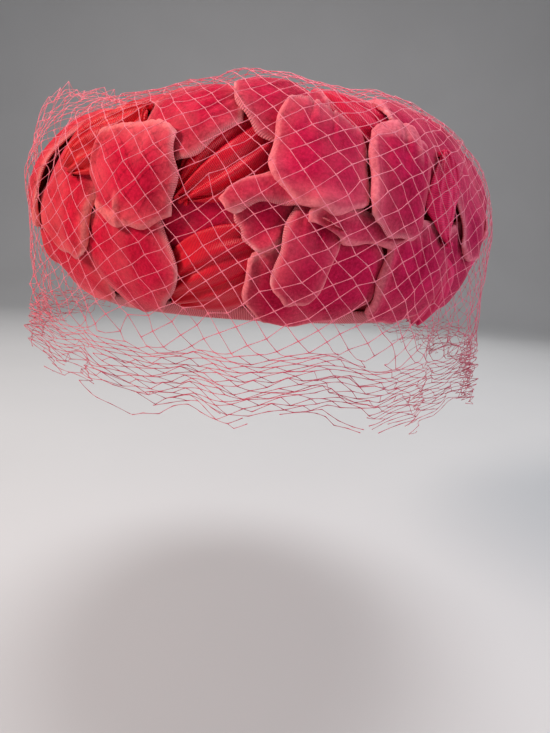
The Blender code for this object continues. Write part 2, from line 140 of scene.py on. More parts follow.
def catmull(rows, parts):
    """Points of a smooth curve through the rows."""
    rows = np.array(rows, float)
    found = []
    for i in range(len(rows) - 1):
        a = rows[max(i - 1, 0)]
        b, c = rows[i], rows[i + 1]
        d = rows[min(i + 2, len(rows) - 1)]
        for k in range(parts):
            t = k / parts
            cubic = (3 * b - a - 3 * c + d) * t**3
            found.append(0.5 * (2 * b + (c - a) * t + (2 * a - 5 * b + 4 * c - d) * t * t + cubic))
    found.append(rows[-1])
    return np.array(found)


CURVE = catmull(PROFILE, CURVE_PARTS)
MEAN_RADIUS = (CURVE[:, 1] + CURVE[:, 2]) / 2
RISE = np.concatenate([[0.0], np.cumsum(np.hypot(np.diff(MEAN_RADIUS), np.diff(CURVE[:, 0])))])
WHOLE_RISE = RISE[-1]


def on_foundation(azimuth, rise):
    """Points on the outside of the foundation."""
    rise = np.clip(rise, 0.0, WHOLE_RISE)
    angle = np.radians(azimuth)
    height, wide, deep = (np.interp(rise, RISE, CURVE[:, k]) for k in range(3))
    return np.stack([wide * np.sin(angle), -deep * np.cos(angle), height + 0 * angle], -1)


def normals(azimuth, rise):
    """Outward unit normals of the foundation."""
    round_it = on_foundation(azimuth + 0.1, rise) - on_foundation(azimuth - 0.1, rise)
    above = on_foundation(azimuth, np.minimum(rise + 3, WHOLE_RISE))
    below = on_foundation(azimuth, np.maximum(rise - 3, 0))
    out = np.cross(round_it, above - below)
    return out / np.maximum(np.linalg.norm(out, axis=-1, keepdims=True), 1e-9)


def place(azimuth, rise, height):
    """Points at a height above the foundation."""
    azimuth, rise, height = np.broadcast_arrays(*(np.asarray(v, float) for v in (azimuth, rise, height)))
    return on_foundation(azimuth, rise) + normals(azimuth, rise) * height[..., None]


def spread(azimuth, rise, across, along):
    """(azimuth, rise) of points laid flat round a place, in millimetres across and along, which runs down."""
    if rise < FLAT_FROM:
        here = place(azimuth + np.array([-0.5, 0.5]), rise, TYPICAL_HEIGHT)
        per_degree = np.linalg.norm(here[1] - here[0])
        return azimuth + across / per_degree, rise - along
    radius = WHOLE_RISE - rise
    x, y = across, radius + along
    return azimuth + np.degrees(np.arctan2(x, y)), WHOLE_RISE - np.hypot(x, y)


print(f"whole rise {WHOLE_RISE:.1f} mm")

# %% [markdown]
# ## The cloth laid so far
# On the real hat each petal lies on those sewn before it. A cloth simulation could let them settle, but so
# many thin layers are hard to keep in their places. So two height maps, one round the side and one over the
# crown, hold how far the cloth reaches out. Each piece is laid over what they say, and the veil lies over
# them all.

# %% Height maps
SIDE_STEP = 0.4
MAP_STEP = 0.7
SIDE_TOP = 112.0
CROWN_REACH = 98.0
CLOTH_GAP = 0.35


class Heights:
    """How far the cloth reaches out from the foundation."""

    def __init__(self):
        self.side = np.zeros((round(360 / SIDE_STEP), round(SIDE_TOP / MAP_STEP)))
        cells = 2 * round(CROWN_REACH / MAP_STEP) + 1
        self.crown = np.zeros((cells, cells))

    def side_cells(self, azimuth, rise):
        i = np.round(np.asarray(azimuth) / SIDE_STEP).astype(int) % self.side.shape[0]
        j = np.clip(np.round(np.asarray(rise) / MAP_STEP).astype(int), 0, self.side.shape[1] - 1)
        return i, j

    def crown_cells(self, azimuth, rise):
        radius = (WHOLE_RISE - np.asarray(rise)) / MAP_STEP
        angle = np.radians(azimuth)
        half = self.crown.shape[0] // 2
        i = np.round(half + radius * np.sin(angle)).astype(int)
        j = np.round(half + radius * np.cos(angle)).astype(int)
        return np.clip(i, 0, 2 * half), np.clip(j, 0, 2 * half)

    def read(self, azimuth, rise):
        low = self.side[self.side_cells(azimuth, rise)]
        return np.where(np.asarray(rise) < FLAT_FROM, low, self.crown[self.crown_cells(azimuth, rise)])

    def add(self, azimuth, rise, height):
        """Raises the maps to a piece's grid of points, and one cell round each."""
        low = rise < SIDE_TOP - MAP_STEP
        high = WHOLE_RISE - rise < CROWN_REACH - MAP_STEP
        i, j = self.side_cells(azimuth[low], rise[low])
        m, n = self.crown_cells(azimuth[high], rise[high])
        for a in (-1, 0, 1):
            for b in (-1, 0, 1):
                near = np.clip(j + b, 0, self.side.shape[1] - 1)
                np.maximum.at(self.side, ((i + a) % self.side.shape[0], near), height[low])
                np.maximum.at(self.crown, (m + a, n + b), height[high])


def finer(values, parts):
    """A grid of values with more points between them."""
    for _ in range(2):
        weights = np.arange(parts) / parts
        middle = values[:-1, None] * (1 - weights)[None, :, None] + values[1:, None] * weights[None, :, None]
        values = np.concatenate([middle.reshape(-1, values.shape[1]), values[-1:]]).T
    return values


def blurred(values, times):
    """A grid of values smoothed, with its border kept free."""
    for _ in range(times):
        padded = np.pad(values, 1, mode="edge")
        around = padded[:-2, 1:-1] + padded[2:, 1:-1] + padded[1:-1, :-2] + padded[1:-1, 2:]
        values = (around + 4 * values) / 8
    return values


def widened(values, times):
    """A grid of values, each raised to its highest neighbour."""
    for _ in range(times):
        padded = np.pad(values, 1, mode="edge")
        rows, columns = values.shape
        shifts = [padded[a : a + rows, b : b + columns] for a in range(3) for b in range(3)]
        values = np.max(shifts, axis=0)
    return values


laid = Heights()
print("maps of", laid.side.shape, "and", laid.crown.shape)

# %% [markdown]
# ## Sheets
# A petal or a loop is a sheet of ribbon, bent to the hat and turned under at its edges. The solid's own
# mesh could be smoothed, but its triangles are uneven and too few for pleats. So each sheet is a fresh even
# grid. A ray finds the height of the solid at every vertex. These heights are smoothed, as cloth would be,
# and raised where the sheet would cut into what lies below.

# %% Heights of a sheet
RAY_START = 60.0
FILL_ROUNDS = 160
SETTLE_ROUNDS = 4


def read_solid(name, azimuth, rise):
    """Height of a solid's outer face above each place, and nan where a ray misses it."""
    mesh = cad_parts[name].data
    points = [vertex.co / MM for vertex in mesh.vertices]
    tree = BVHTree.FromPolygons(points, [face.vertices[:] for face in mesh.polygons])
    start = place(azimuth, rise, RAY_START)
    inward = -normals(azimuth, rise)
    found = np.full(azimuth.shape, np.nan)
    for k in np.ndindex(azimuth.shape):
        distance = tree.ray_cast(Vector(start[k]), Vector(inward[k]), RAY_START)[3]
        if distance is not None:
            found[k] = RAY_START - distance
    return found


def filled(values):
    """A grid with its gaps filled from their neighbours."""
    known = ~np.isnan(values)
    values = np.where(known, values, np.nanmean(values))
    for _ in range(FILL_ROUNDS):
        values = np.where(known, values, blurred(values, 1))
    return values


def settled(name, azimuth, rise, own, wall, softness):
    """Heights of a piece: its own shape, lifted as its solid is, and over everything laid before it."""
    lift = blurred(filled(read_solid(name, azimuth, rise) - own), softness)
    height = own + lift
    floor = laid.read(azimuth, rise) + wall + CLOTH_GAP
    for _ in range(SETTLE_ROUNDS):
        short = np.maximum(floor - height, 0)
        if short.max() < 0.05:
            break
        height = height + blurred(widened(short, 2), 8)
    return np.maximum(height, floor)


print("rays start", RAY_START, "mm out from the shell")

# %% [markdown]
# One operator makes the grid. Its border is then extruded ring by ring, which later carries the cloth
# outwards and under. A material can't know how far it is from an edge, so such values are kept on the
# vertices. The UV map holds true lengths, and lets ribs follow the cloth.

# %% Grid, border and object
GRID_MM = 0.95
UV_SIZE = 100.0
MARKS = ("rim", "fold", "along", "tick")


def grid_sheet(columns, rows):
    """A grid mesh, its vertices in rows, and u from -1 to 1 across, v from 0 at the root to 1 at the nose."""
    sheet = bmesh.new()
    bmesh.ops.create_grid(sheet, x_segments=columns, y_segments=rows, size=1.0)
    co = np.array([vertex.co[:2] for vertex in sheet.verts])
    order = np.lexsort((co[:, 0].round(6), -co[:, 1].round(6)))
    shape = (len(np.unique(co[:, 1].round(6))), len(np.unique(co[:, 0].round(6))))
    vertices = np.array(sheet.verts[:], dtype=object)[order].reshape(shape)
    u = co[order, 0].reshape(shape)
    v = (1 - co[order, 1].reshape(shape)) / 2
    return sheet, vertices, u, v


def border_of(shape):
    """(row, column) of the border of a grid, once round."""
    rows, columns = shape
    way = [(0, j) for j in range(columns)] + [(i, columns - 1) for i in range(1, rows)]
    way += [(rows - 1, j) for j in range(columns - 2, -1, -1)] + [(i, 0) for i in range(rows - 2, 0, -1)]
    return tuple(np.array(way).T)


def round_mean(values, reach):
    """Values round a border, each averaged with its neighbours."""
    return sum(np.roll(values, k, axis=0) for k in range(-reach, reach + 1)) / (2 * reach + 1)


def extrude_rings(sheet, border, rings):
    """Extrudes the border once for each ring of points, and returns the new vertices, ring by ring."""
    index = {vertex: k for k, vertex in enumerate(border)}
    edges = [edge for vertex in border for edge in vertex.link_edges if edge.other_vert(vertex) in index]
    edges = list({edge for edge in edges if edge.is_boundary})
    made_rings = []
    for points in rings:
        made = bmesh.ops.extrude_edge_only(sheet, edges=edges)["geom"]
        new = {part for part in made if isinstance(part, bmesh.types.BMVert)}
        ahead = [None] * len(border)
        for vertex in new:
            for edge in vertex.link_edges:
                k = index.get(edge.other_vert(vertex))
                if k is not None:
                    ahead[k] = vertex
        for vertex, point in zip(ahead, points):
            vertex.co = point
        edges = [part for part in made if isinstance(part, bmesh.types.BMEdge) and set(part.verts) <= new]
        index = {vertex: k for k, vertex in enumerate(ahead)}
        made_rings.append(ahead)
    return made_rings


def to_object(name, shape, values, finish):
    """A named object in metres. Its vertex values are u and v in millimetres, then the marks."""
    bmesh.ops.scale(shape, vec=(MM, MM, MM), verts=shape.verts[:])
    mesh = bpy.data.meshes.new(name)
    shape.to_mesh(mesh)
    shape.free()
    uv = mesh.uv_layers.new(name="UVMap")
    corners = np.empty(len(mesh.loops), int)
    mesh.loops.foreach_get("vertex_index", corners)
    uv.data.foreach_set("uv", (values[corners, :2] / UV_SIZE).astype(np.float32).ravel())
    for k, title in enumerate(MARKS, 2):
        held = mesh.attributes.new(title, "FLOAT", "POINT")
        held.data.foreach_set("value", values[:, k].astype(np.float32))
    mesh.materials.append(finish)
    mesh.shade_smooth()
    made = bpy.data.objects.new(name, mesh)
    scene.collection.objects.link(made)
    return made


print("sheets have a vertex about every", GRID_MM, "mm")

# %% [markdown]
# ## Materials
# Every colour is worked out from a piece's own coordinates, never from a picture or the camera. A material
# is a tree of nodes, and these helpers keep such trees short: feed sets or links inputs, and the others add
# one node each.

# %% Node helpers
TAU = 2 * math.pi


def feed(tree, made, values):
    """Sets each input of a node to a value, or links it to another node's output."""
    for key, value in values.items():
        if isinstance(value, bpy.types.NodeSocket):
            tree.links.new(value, made.inputs[key])
        else:
            made.inputs[key].default_value = value


def node(tree, kind, values=None, **settings):
    """A node with its settings, and its inputs set or linked."""
    made = tree.nodes.new(kind)
    for name, value in settings.items():
        setattr(made, name, value)
    feed(tree, made, values or {})
    return made


def maths(tree, operation, a, b=0.0, clamp=False):
    """The result of one operation, such as MULTIPLY or SINE."""
    return node(tree, "ShaderNodeMath", {0: a, 1: b}, operation=operation, use_clamp=clamp).outputs[0]


def times(tree, a, b, clamp=False):
    return maths(tree, "MULTIPLY", a, b, clamp)


def plus(tree, a, b):
    return maths(tree, "ADD", a, b)


def mixed(tree, share, a, b):
    """Colour a where the share is 0, and b where it is 1."""
    return node(tree, "ShaderNodeMix", {0: share, 6: a, 7: b}, data_type="RGBA").outputs[2]


def stretched(tree, value, low, high):
    """A value stretched so that low to high gives 0 to 1."""
    return node(tree, "ShaderNodeMapRange", {"Value": value, 1: low, 2: high}).outputs[0]


def noise(tree, coordinates, scale, detail=2.0, roughness=0.5):
    values = {"Vector": coordinates, "Scale": scale, "Detail": detail, "Roughness": roughness}
    return node(tree, "ShaderNodeTexNoise", values).outputs["Fac"]


def object_place(tree):
    """Coordinates in the object's own metres."""
    return node(tree, "ShaderNodeTexCoord").outputs["Object"]


def one_axis(tree, vector, axis):
    return node(tree, "ShaderNodeSeparateXYZ", {0: vector}).outputs[axis]


print("node helpers are ready")

# %% [markdown]
# Effects that several cloths share are node groups, each built once. Velvet is a short pile that leans in
# patches, so the nap group layers four sizes of noise: patches, slow drifts, specks and fibres. Ribbons are
# woven with thick threads across them, so the ribs group is a sine wave along a place that the material
# gives it, made a little uneven by noise. The last group tells how far to the right a point is. The lamps
# are warmer on the left and cooler on the right, and the materials use this share to paint that warm and
# cool light into their colours.

# %% Shared groups
def new_group(name, inputs, outputs):
    """(tree, the group's inputs, the node that takes its outputs) of a new node group."""
    tree = bpy.data.node_groups.new(name, "ShaderNodeTree")
    for way, titles in (("INPUT", inputs), ("OUTPUT", outputs)):
        for title in titles:
            tree.interface.new_socket(name=title, in_out=way, socket_type="NodeSocketFloat")
    return tree, node(tree, "NodeGroupInput").outputs, node(tree, "NodeGroupOutput")


def use(tree, group, values=None):
    """The outputs of a group that is placed in a material."""
    return node(tree, "ShaderNodeGroup", values, node_tree=group).outputs


nap, _, ends = new_group("nap", (), ("Tone", "Height", "Drift", "Grain"))
where = object_place(nap)
brushed = stretched(nap, noise(nap, where, 75.0, 3.0, 0.6), 0.30, 0.70)
fibre = noise(nap, where, 2600.0, 2.0, 0.7)
speck = stretched(nap, noise(nap, where, 900.0, 2.0, 0.6), 0.32, 0.68)
drift = stretched(nap, noise(nap, where, 42.0, 2.0, 0.5), 0.48, 0.72)
tone = plus(nap, times(nap, brushed, 0.55), times(nap, speck, 0.45))
pile_height = plus(nap, times(nap, fibre, 0.7), times(nap, speck, 0.5))
feed(nap, ends, {"Tone": tone, "Height": pile_height, "Drift": drift, "Grain": speck})

ribs, starts, ends = new_group("ribs", ("Place", "Period"), ("Height",))
uneven = times(ribs, noise(ribs, object_place(ribs), 180.0, 2.0, 0.5), 1.6)
turns = times(ribs, maths(ribs, "DIVIDE", starts["Place"], starts["Period"]), TAU)
wave = maths(ribs, "SINE", plus(ribs, turns, uneven))
feed(ribs, ends, {"Height": times(ribs, plus(ribs, wave, 1.0), 0.5)})

# Share from the left of the hat to the right, by which materials mix warm and cool colours: painted lamp
# light.
painted_lamp_tint, _, ends = new_group("painted_lamp_tint", (), ("Share",))
to_right = one_axis(painted_lamp_tint, object_place(painted_lamp_tint), 0)
feed(painted_lamp_tint, ends, {"Share": stretched(painted_lamp_tint, to_right, -0.08, 0.09)})
print("groups:", [group.name for group in bpy.data.node_groups])

# %% [markdown]
# ### Velvet
# Seen straight on, velvet is deep crimson. It is paler in rubbed patches, and at the selvedge, which has no
# pile and shows its ribs as small ticks. It is paler along a fold, a little towards every side and on a
# tuck: partly where the pile opens, and partly painted sheen. Sheen alone would brighten only what turns
# away from the eye, so this paleness follows the marks that each petal carries. The colours are warmer on
# the left of the hat and cooler on the right, which is painted lamp light.

# %% Velvet
def new_material(name):
    """(material, its tree, its shader)."""
    made = bpy.data.materials.new(name)
    made.use_nodes = True
    tree = made.node_tree
    return made, tree, tree.nodes["Principled BSDF"]


def bump(tree, height, depth):
    """Normals bent by a height from 0 to 1, which stands for this depth in millimetres."""
    return node(tree, "ShaderNodeBump", {"Height": height, "Distance": depth * MM}).outputs["Normal"]


def mark(tree, name):
    return node(tree, "ShaderNodeAttribute", attribute_name=name).outputs["Fac"]


def rib_height(tree, run, period):
    return use(tree, ribs, {"Place": run, "Period": period})["Height"]


def velvet_material():
    made, tree, shader = new_material("velvet")
    share = use(tree, painted_lamp_tint)["Share"]
    pile = use(tree, nap)
    # Warm colours on the left and cool ones on the right are painted lamp light.
    warm = mixed(tree, pile["Tone"], (0.34, 0.001, 0.012, 1), (0.76, 0.010, 0.040, 1))
    cool = mixed(tree, pile["Tone"], (0.24, 0.001, 0.032, 1), (0.58, 0.014, 0.105, 1))
    rubbed = mixed(tree, share, (0.86, 0.130, 0.140, 1), (0.70, 0.110, 0.190, 1))
    body = mixed(tree, times(tree, pile["Drift"], 0.38), mixed(tree, share, warm, cool), rubbed)
    # A paler colour where the fold mark is high: partly opened pile, partly painted sheen.
    pile_and_sheen_colour = mixed(tree, share, (0.90, 0.22, 0.20, 1), (0.78, 0.20, 0.28, 1))
    broken = plus(tree, times(tree, pile["Grain"], 0.45), 0.62)
    body = mixed(tree, times(tree, mark(tree, "fold"), broken, clamp=True), body, pile_and_sheen_colour)
    edge = mixed(tree, share, (0.94, 0.34, 0.31, 1), (0.84, 0.32, 0.40, 1))
    edge = mixed(tree, times(tree, pile["Grain"], 0.45), edge, (0.70, 0.10, 0.14, 1))
    ticks = times(tree, rib_height(tree, mark(tree, "along"), 0.80), mark(tree, "tick"))
    edge = mixed(tree, times(tree, ticks, 0.75), edge, (0.64, 0.06, 0.10, 1))
    feed(tree, shader, {
        "Base Color": mixed(tree, mark(tree, "rim"), body, edge),
        "Roughness": 0.85,
        "Specular IOR Level": 0.06,
        "Sheen Weight": 0.55,
        "Sheen Roughness": 0.30,
        "Sheen Tint": (1.0, 0.30, 0.36, 1.0),
        "Normal": bump(tree, plus(tree, times(tree, pile["Height"], 0.7), ticks), 0.22),
    })
    return made


velvet = velvet_material()
print("velvet has", len(velvet.node_tree.nodes), "nodes")

# %% [markdown]
# ### Faille
# The loops are a glossy ribbon with very fine ribs. Their colour goes from scarlet on the left of the hat
# to nearer raspberry on the right, which is painted warm and cool lamp light. A wave in Object coordinates
# could draw the ribs, but it would cut through a bent loop, so they follow the UV map. The grooves between
# the ribs are a darker red, which is painted shade. A lower roughness gives the gloss, and slow drifts of a
# darker red are painted shade for the depth of the drapes.

# %% Faille
def uv_place(tree, axis):
    """Millimetres across (0) or along (1) a cloth, from its UV map."""
    uv = node(tree, "ShaderNodeUVMap", uv_map="UVMap").outputs[0]
    return times(tree, one_axis(tree, uv, axis), UV_SIZE)


def faille_material():
    made, tree, shader = new_material("faille")
    share = maths(tree, "POWER", use(tree, painted_lamp_tint)["Share"], 2.2)
    rib = rib_height(tree, uv_place(tree, 1), 0.55)
    # The change from scarlet on the left to raspberry on the right is painted lamp light.
    colour = mixed(tree, share, (0.84, 0.004, 0.004, 1), (0.86, 0.004, 0.150, 1))
    # A darker red in the grooves between the ribs is painted shade.
    groove_shade = mixed(tree, share, (0.50, 0.001, 0.010, 1), (0.56, 0.003, 0.100, 1))
    # Slow drifts of a darker red are painted shade in the drapes.
    colour = mixed(tree, times(tree, use(tree, nap)["Drift"], 0.75), colour, (0.44, 0.001, 0.030, 1))
    feed(tree, shader, {
        "Base Color": mixed(tree, rib, groove_shade, colour),
        "Roughness": 0.40,
        "Specular IOR Level": 0.28,
        "Sheen Weight": 0.12,
        "Sheen Tint": (1.0, 0.20, 0.35, 1.0),
        "Normal": bump(tree, rib, 0.09),
    })
    return made


faille = faille_material()
print("faille has", len(faille.node_tree.nodes), "nodes")

# %% [markdown]
# ### Binding, foundation and thread
# The binding is a matt ribbon with coarse ribs across it. The foundation is stiffened cloth in a plain
# weave. Its threads could be modelled, but they are too fine to matter, so ribs in both directions are
# multiplied, which leaves a bump at each crossing. The veil's thread is unevenly pale. It is darker at the
# hem, where strands lie close and shade each other: that darkening is painted shade. The binding and the
# thread are warmer on the left and cooler on the right, which is painted lamp light.

# %% Binding, foundation and thread
def grosgrain_material():
    made, tree, shader = new_material("grosgrain")
    rib = rib_height(tree, uv_place(tree, 0), 1.05)
    # Warmer on the left and cooler on the right: painted lamp light.
    colour = mixed(tree, use(tree, painted_lamp_tint)["Share"], (0.94, 0.20, 0.20, 1), (0.76, 0.15, 0.22, 1))
    feed(tree, shader, {
        "Base Color": mixed(tree, rib, (0.60, 0.040, 0.070, 1), colour),
        "Roughness": 0.62,
        "Sheen Weight": 0.2,
        "Normal": bump(tree, rib, 0.30),
    })
    return made


def foundation_material():
    made, tree, shader = new_material("foundation")
    warp, weft = (rib_height(tree, uv_place(tree, axis), 1.1) for axis in (0, 1))
    weave = times(tree, warp, weft)
    feed(tree, shader, {
        "Base Color": mixed(tree, weave, (0.36, 0.006, 0.020, 1), (0.62, 0.018, 0.042, 1)),
        "Roughness": 0.9,
        "Normal": bump(tree, weave, 0.30),
    })
    return made


def thread_material():
    made, tree, shader = new_material("veil_thread")
    where = object_place(tree)
    uneven = noise(tree, where, 1400.0, 2.0, 0.6)
    # Warmer on the left and cooler on the right: painted lamp light.
    colour = mixed(tree, use(tree, painted_lamp_tint)["Share"], (0.80, 0.08, 0.13, 1), (0.70, 0.08, 0.20, 1))
    colour = mixed(tree, uneven, colour, (0.90, 0.22, 0.30, 1))
    # Darker towards the hem, where strands bunch, is painted shade.
    hem_shade = stretched(tree, one_axis(tree, where, 2), 0.004, -0.018)
    feed(tree, shader, {
        "Base Color": mixed(tree, times(tree, hem_shade, 0.85), colour, (0.52, 0.008, 0.060, 1)),
        "Roughness": 0.55,
        "Sheen Weight": 0.4,
        "Normal": bump(tree, uneven, 0.08),
    })
    return made


grosgrain = grosgrain_material()
buckram = foundation_material()
thread = thread_material()
print("materials:", [made.name for made in (velvet, faille, grosgrain, buckram, thread)])

# %% [markdown]
# ## Floor
# A plain pale floor bends up into a wall far behind the hat, so that no horizon shows. It belongs to the
# stage and not to the hat.

# %% Floor
FLOOR_HEIGHT = -0.20
FLOOR_REACH = 5.0
SWEEP_START = 2.0
SWEEP_RADIUS = 1.2

floor_mesh = bmesh.new()
bmesh.ops.create_grid(floor_mesh, x_segments=2, y_segments=80, size=FLOOR_REACH)
for vertex in floor_mesh.verts:
    past = vertex.co.y - SWEEP_START
    turn = min(max(past / SWEEP_RADIUS, 0.0), math.pi / 2)
    wall = max(0.0, past - SWEEP_RADIUS * math.pi / 2)
    vertex.co.y = min(vertex.co.y, SWEEP_START) + SWEEP_RADIUS * math.sin(turn)
    vertex.co.z = FLOOR_HEIGHT + SWEEP_RADIUS * (1 - math.cos(turn)) + wall
floor_data = bpy.data.meshes.new("floor")
floor_mesh.to_mesh(floor_data)
floor_mesh.free()
floor_data.shade_smooth()
pale, pale_tree, pale_shader = new_material("pale_floor")
cloudy = noise(pale_tree, object_place(pale_tree), 3.0, 3.0)
pale_colour = mixed(pale_tree, cloudy, (0.50, 0.51, 0.52, 1), (0.55, 0.56, 0.57, 1))
feed(pale_tree, pale_shader, {"Base Color": pale_colour, "Roughness": 0.9})
floor_data.materials.append(pale)
floor = bpy.data.objects.new("floor", floor_data)
scene.collection.objects.link(floor)
print("floor:", len(floor_data.polygons), "faces")

# %% [markdown]
# ## Foundation and rim band
# The foundation is a moulded shell of even wall, and the band a ribbed binding folded round its edge. A
# round hat could be spun from a section. This one is oval, so each is one grid wrapped round the hat, with
# its rows on a section that is worked out afresh at every azimuth. Both are laid first.

# %% Foundation and band
ROUND_COLUMNS = 300
SHELL_ROWS = 60
RIM_LENGTH = 620.0
BAND_GAP = 0.6
BAND_HEIGHT = 5.0
BAND_THICKNESS = 1.6


def turned_grid(name, sections, finish, columns):
    """One grid wrapped round the hat. sections gives its rows, each with a point for every azimuth."""
    azimuths = np.linspace(-180.0, 180.0, columns + 1)
    rows = sections(azimuths)
    shape, vertices, _, _ = grid_sheet(columns, len(rows) - 1)
    shape.verts.index_update()
    values = np.zeros((len(shape.verts), 2 + len(MARKS)))
    run = np.linspace(0.0, RIM_LENGTH, columns + 1)
    down = np.concatenate([[0.0], np.cumsum(np.linalg.norm(np.diff(rows, axis=0), axis=2).mean(axis=1))])
    for i, j in np.ndindex(vertices.shape):
        vertices[i, j].co = rows[i, j]
        values[vertices[i, j].index, :2] = run[j], down[i]
    return to_object(name, shape, values, finish)


def shell_sections(azimuths):
    """Rows from the crown's middle down the outside, and back up the inside."""
    outside = np.linspace(WHOLE_RISE, 0.0, SHELL_ROWS)
    rows = [place(azimuths, rise, 0.0) for rise in outside]
    rows += [place(azimuths, rise, -SHELL_WALL) for rise in outside[::-1]]
    rows = np.array(rows)
    rows[..., 2] = np.maximum(rows[..., 2], 0.0)
    return rows


def band_sections(azimuths):
    """Rows from the outside, round under the rim and up the inside."""
    under = -SHELL_WALL - 1.6 * BAND_GAP
    top = BAND_GAP + BAND_THICKNESS
    # (rise, height out from the shell, height below the rim where it is set)
    corners = (
        (BAND_HEIGHT - 0.2, BAND_GAP, None),
        (BAND_HEIGHT + 0.2, BAND_GAP + 0.5 * BAND_THICKNESS, None),
        (BAND_HEIGHT - 1.0, top - 0.1, None),
        (2.2, top + 0.1, None),
        (0.5, top - 0.3, -1.5),
        (0.5, 0.0, -BAND_GAP - BAND_THICKNESS),
        (0.5, under - BAND_THICKNESS + 0.4, -1.6),
        (2.5, under - BAND_THICKNESS, None),
        (BAND_HEIGHT, under - 0.7 * BAND_THICKNESS, None),
        (BAND_HEIGHT, under, None),
    )
    rows = []
    for rise, height, drop in corners:
        points = place(azimuths, rise, height)
        if drop is not None:
            points[:, 2] = drop
        rows.append(points)
    return catmull(rows, 3)


shell = turned_grid("foundation", shell_sections, buckram, ROUND_COLUMNS)
band = turned_grid("rim_binding", band_sections, grosgrain, 2 * ROUND_COLUMNS)
for piece, solid, name in ((shell, "crown_base", "foundation"), (band, "rim_band", "grosgrain")):
    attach(piece, "root")
    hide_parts(solid)
ring_azimuths, ring_rises = np.meshgrid(np.arange(0.0, 360.0, 0.3), np.arange(0.0, BAND_HEIGHT + 0.5, 0.5))
laid.add(ring_azimuths, ring_rises, np.full(ring_azimuths.shape, BAND_GAP + BAND_THICKNESS))
print("foundation", len(shell.data.polygons), "faces, band", len(band.data.polygons), "faces")

# %% [markdown]
# ## The petals and loops, one by one
# Each row is one piece, by its place, size and turn on the hat. The last column of a petal says how its
# four sides end, in the order left, right, nose, root: f for a soft fold, s for a selvedge. The pieces
# could be scattered at random, but the front ones have to match the photograph, so all are placed one by one.
# LAYERS is the order in which they are laid, the lowest first.

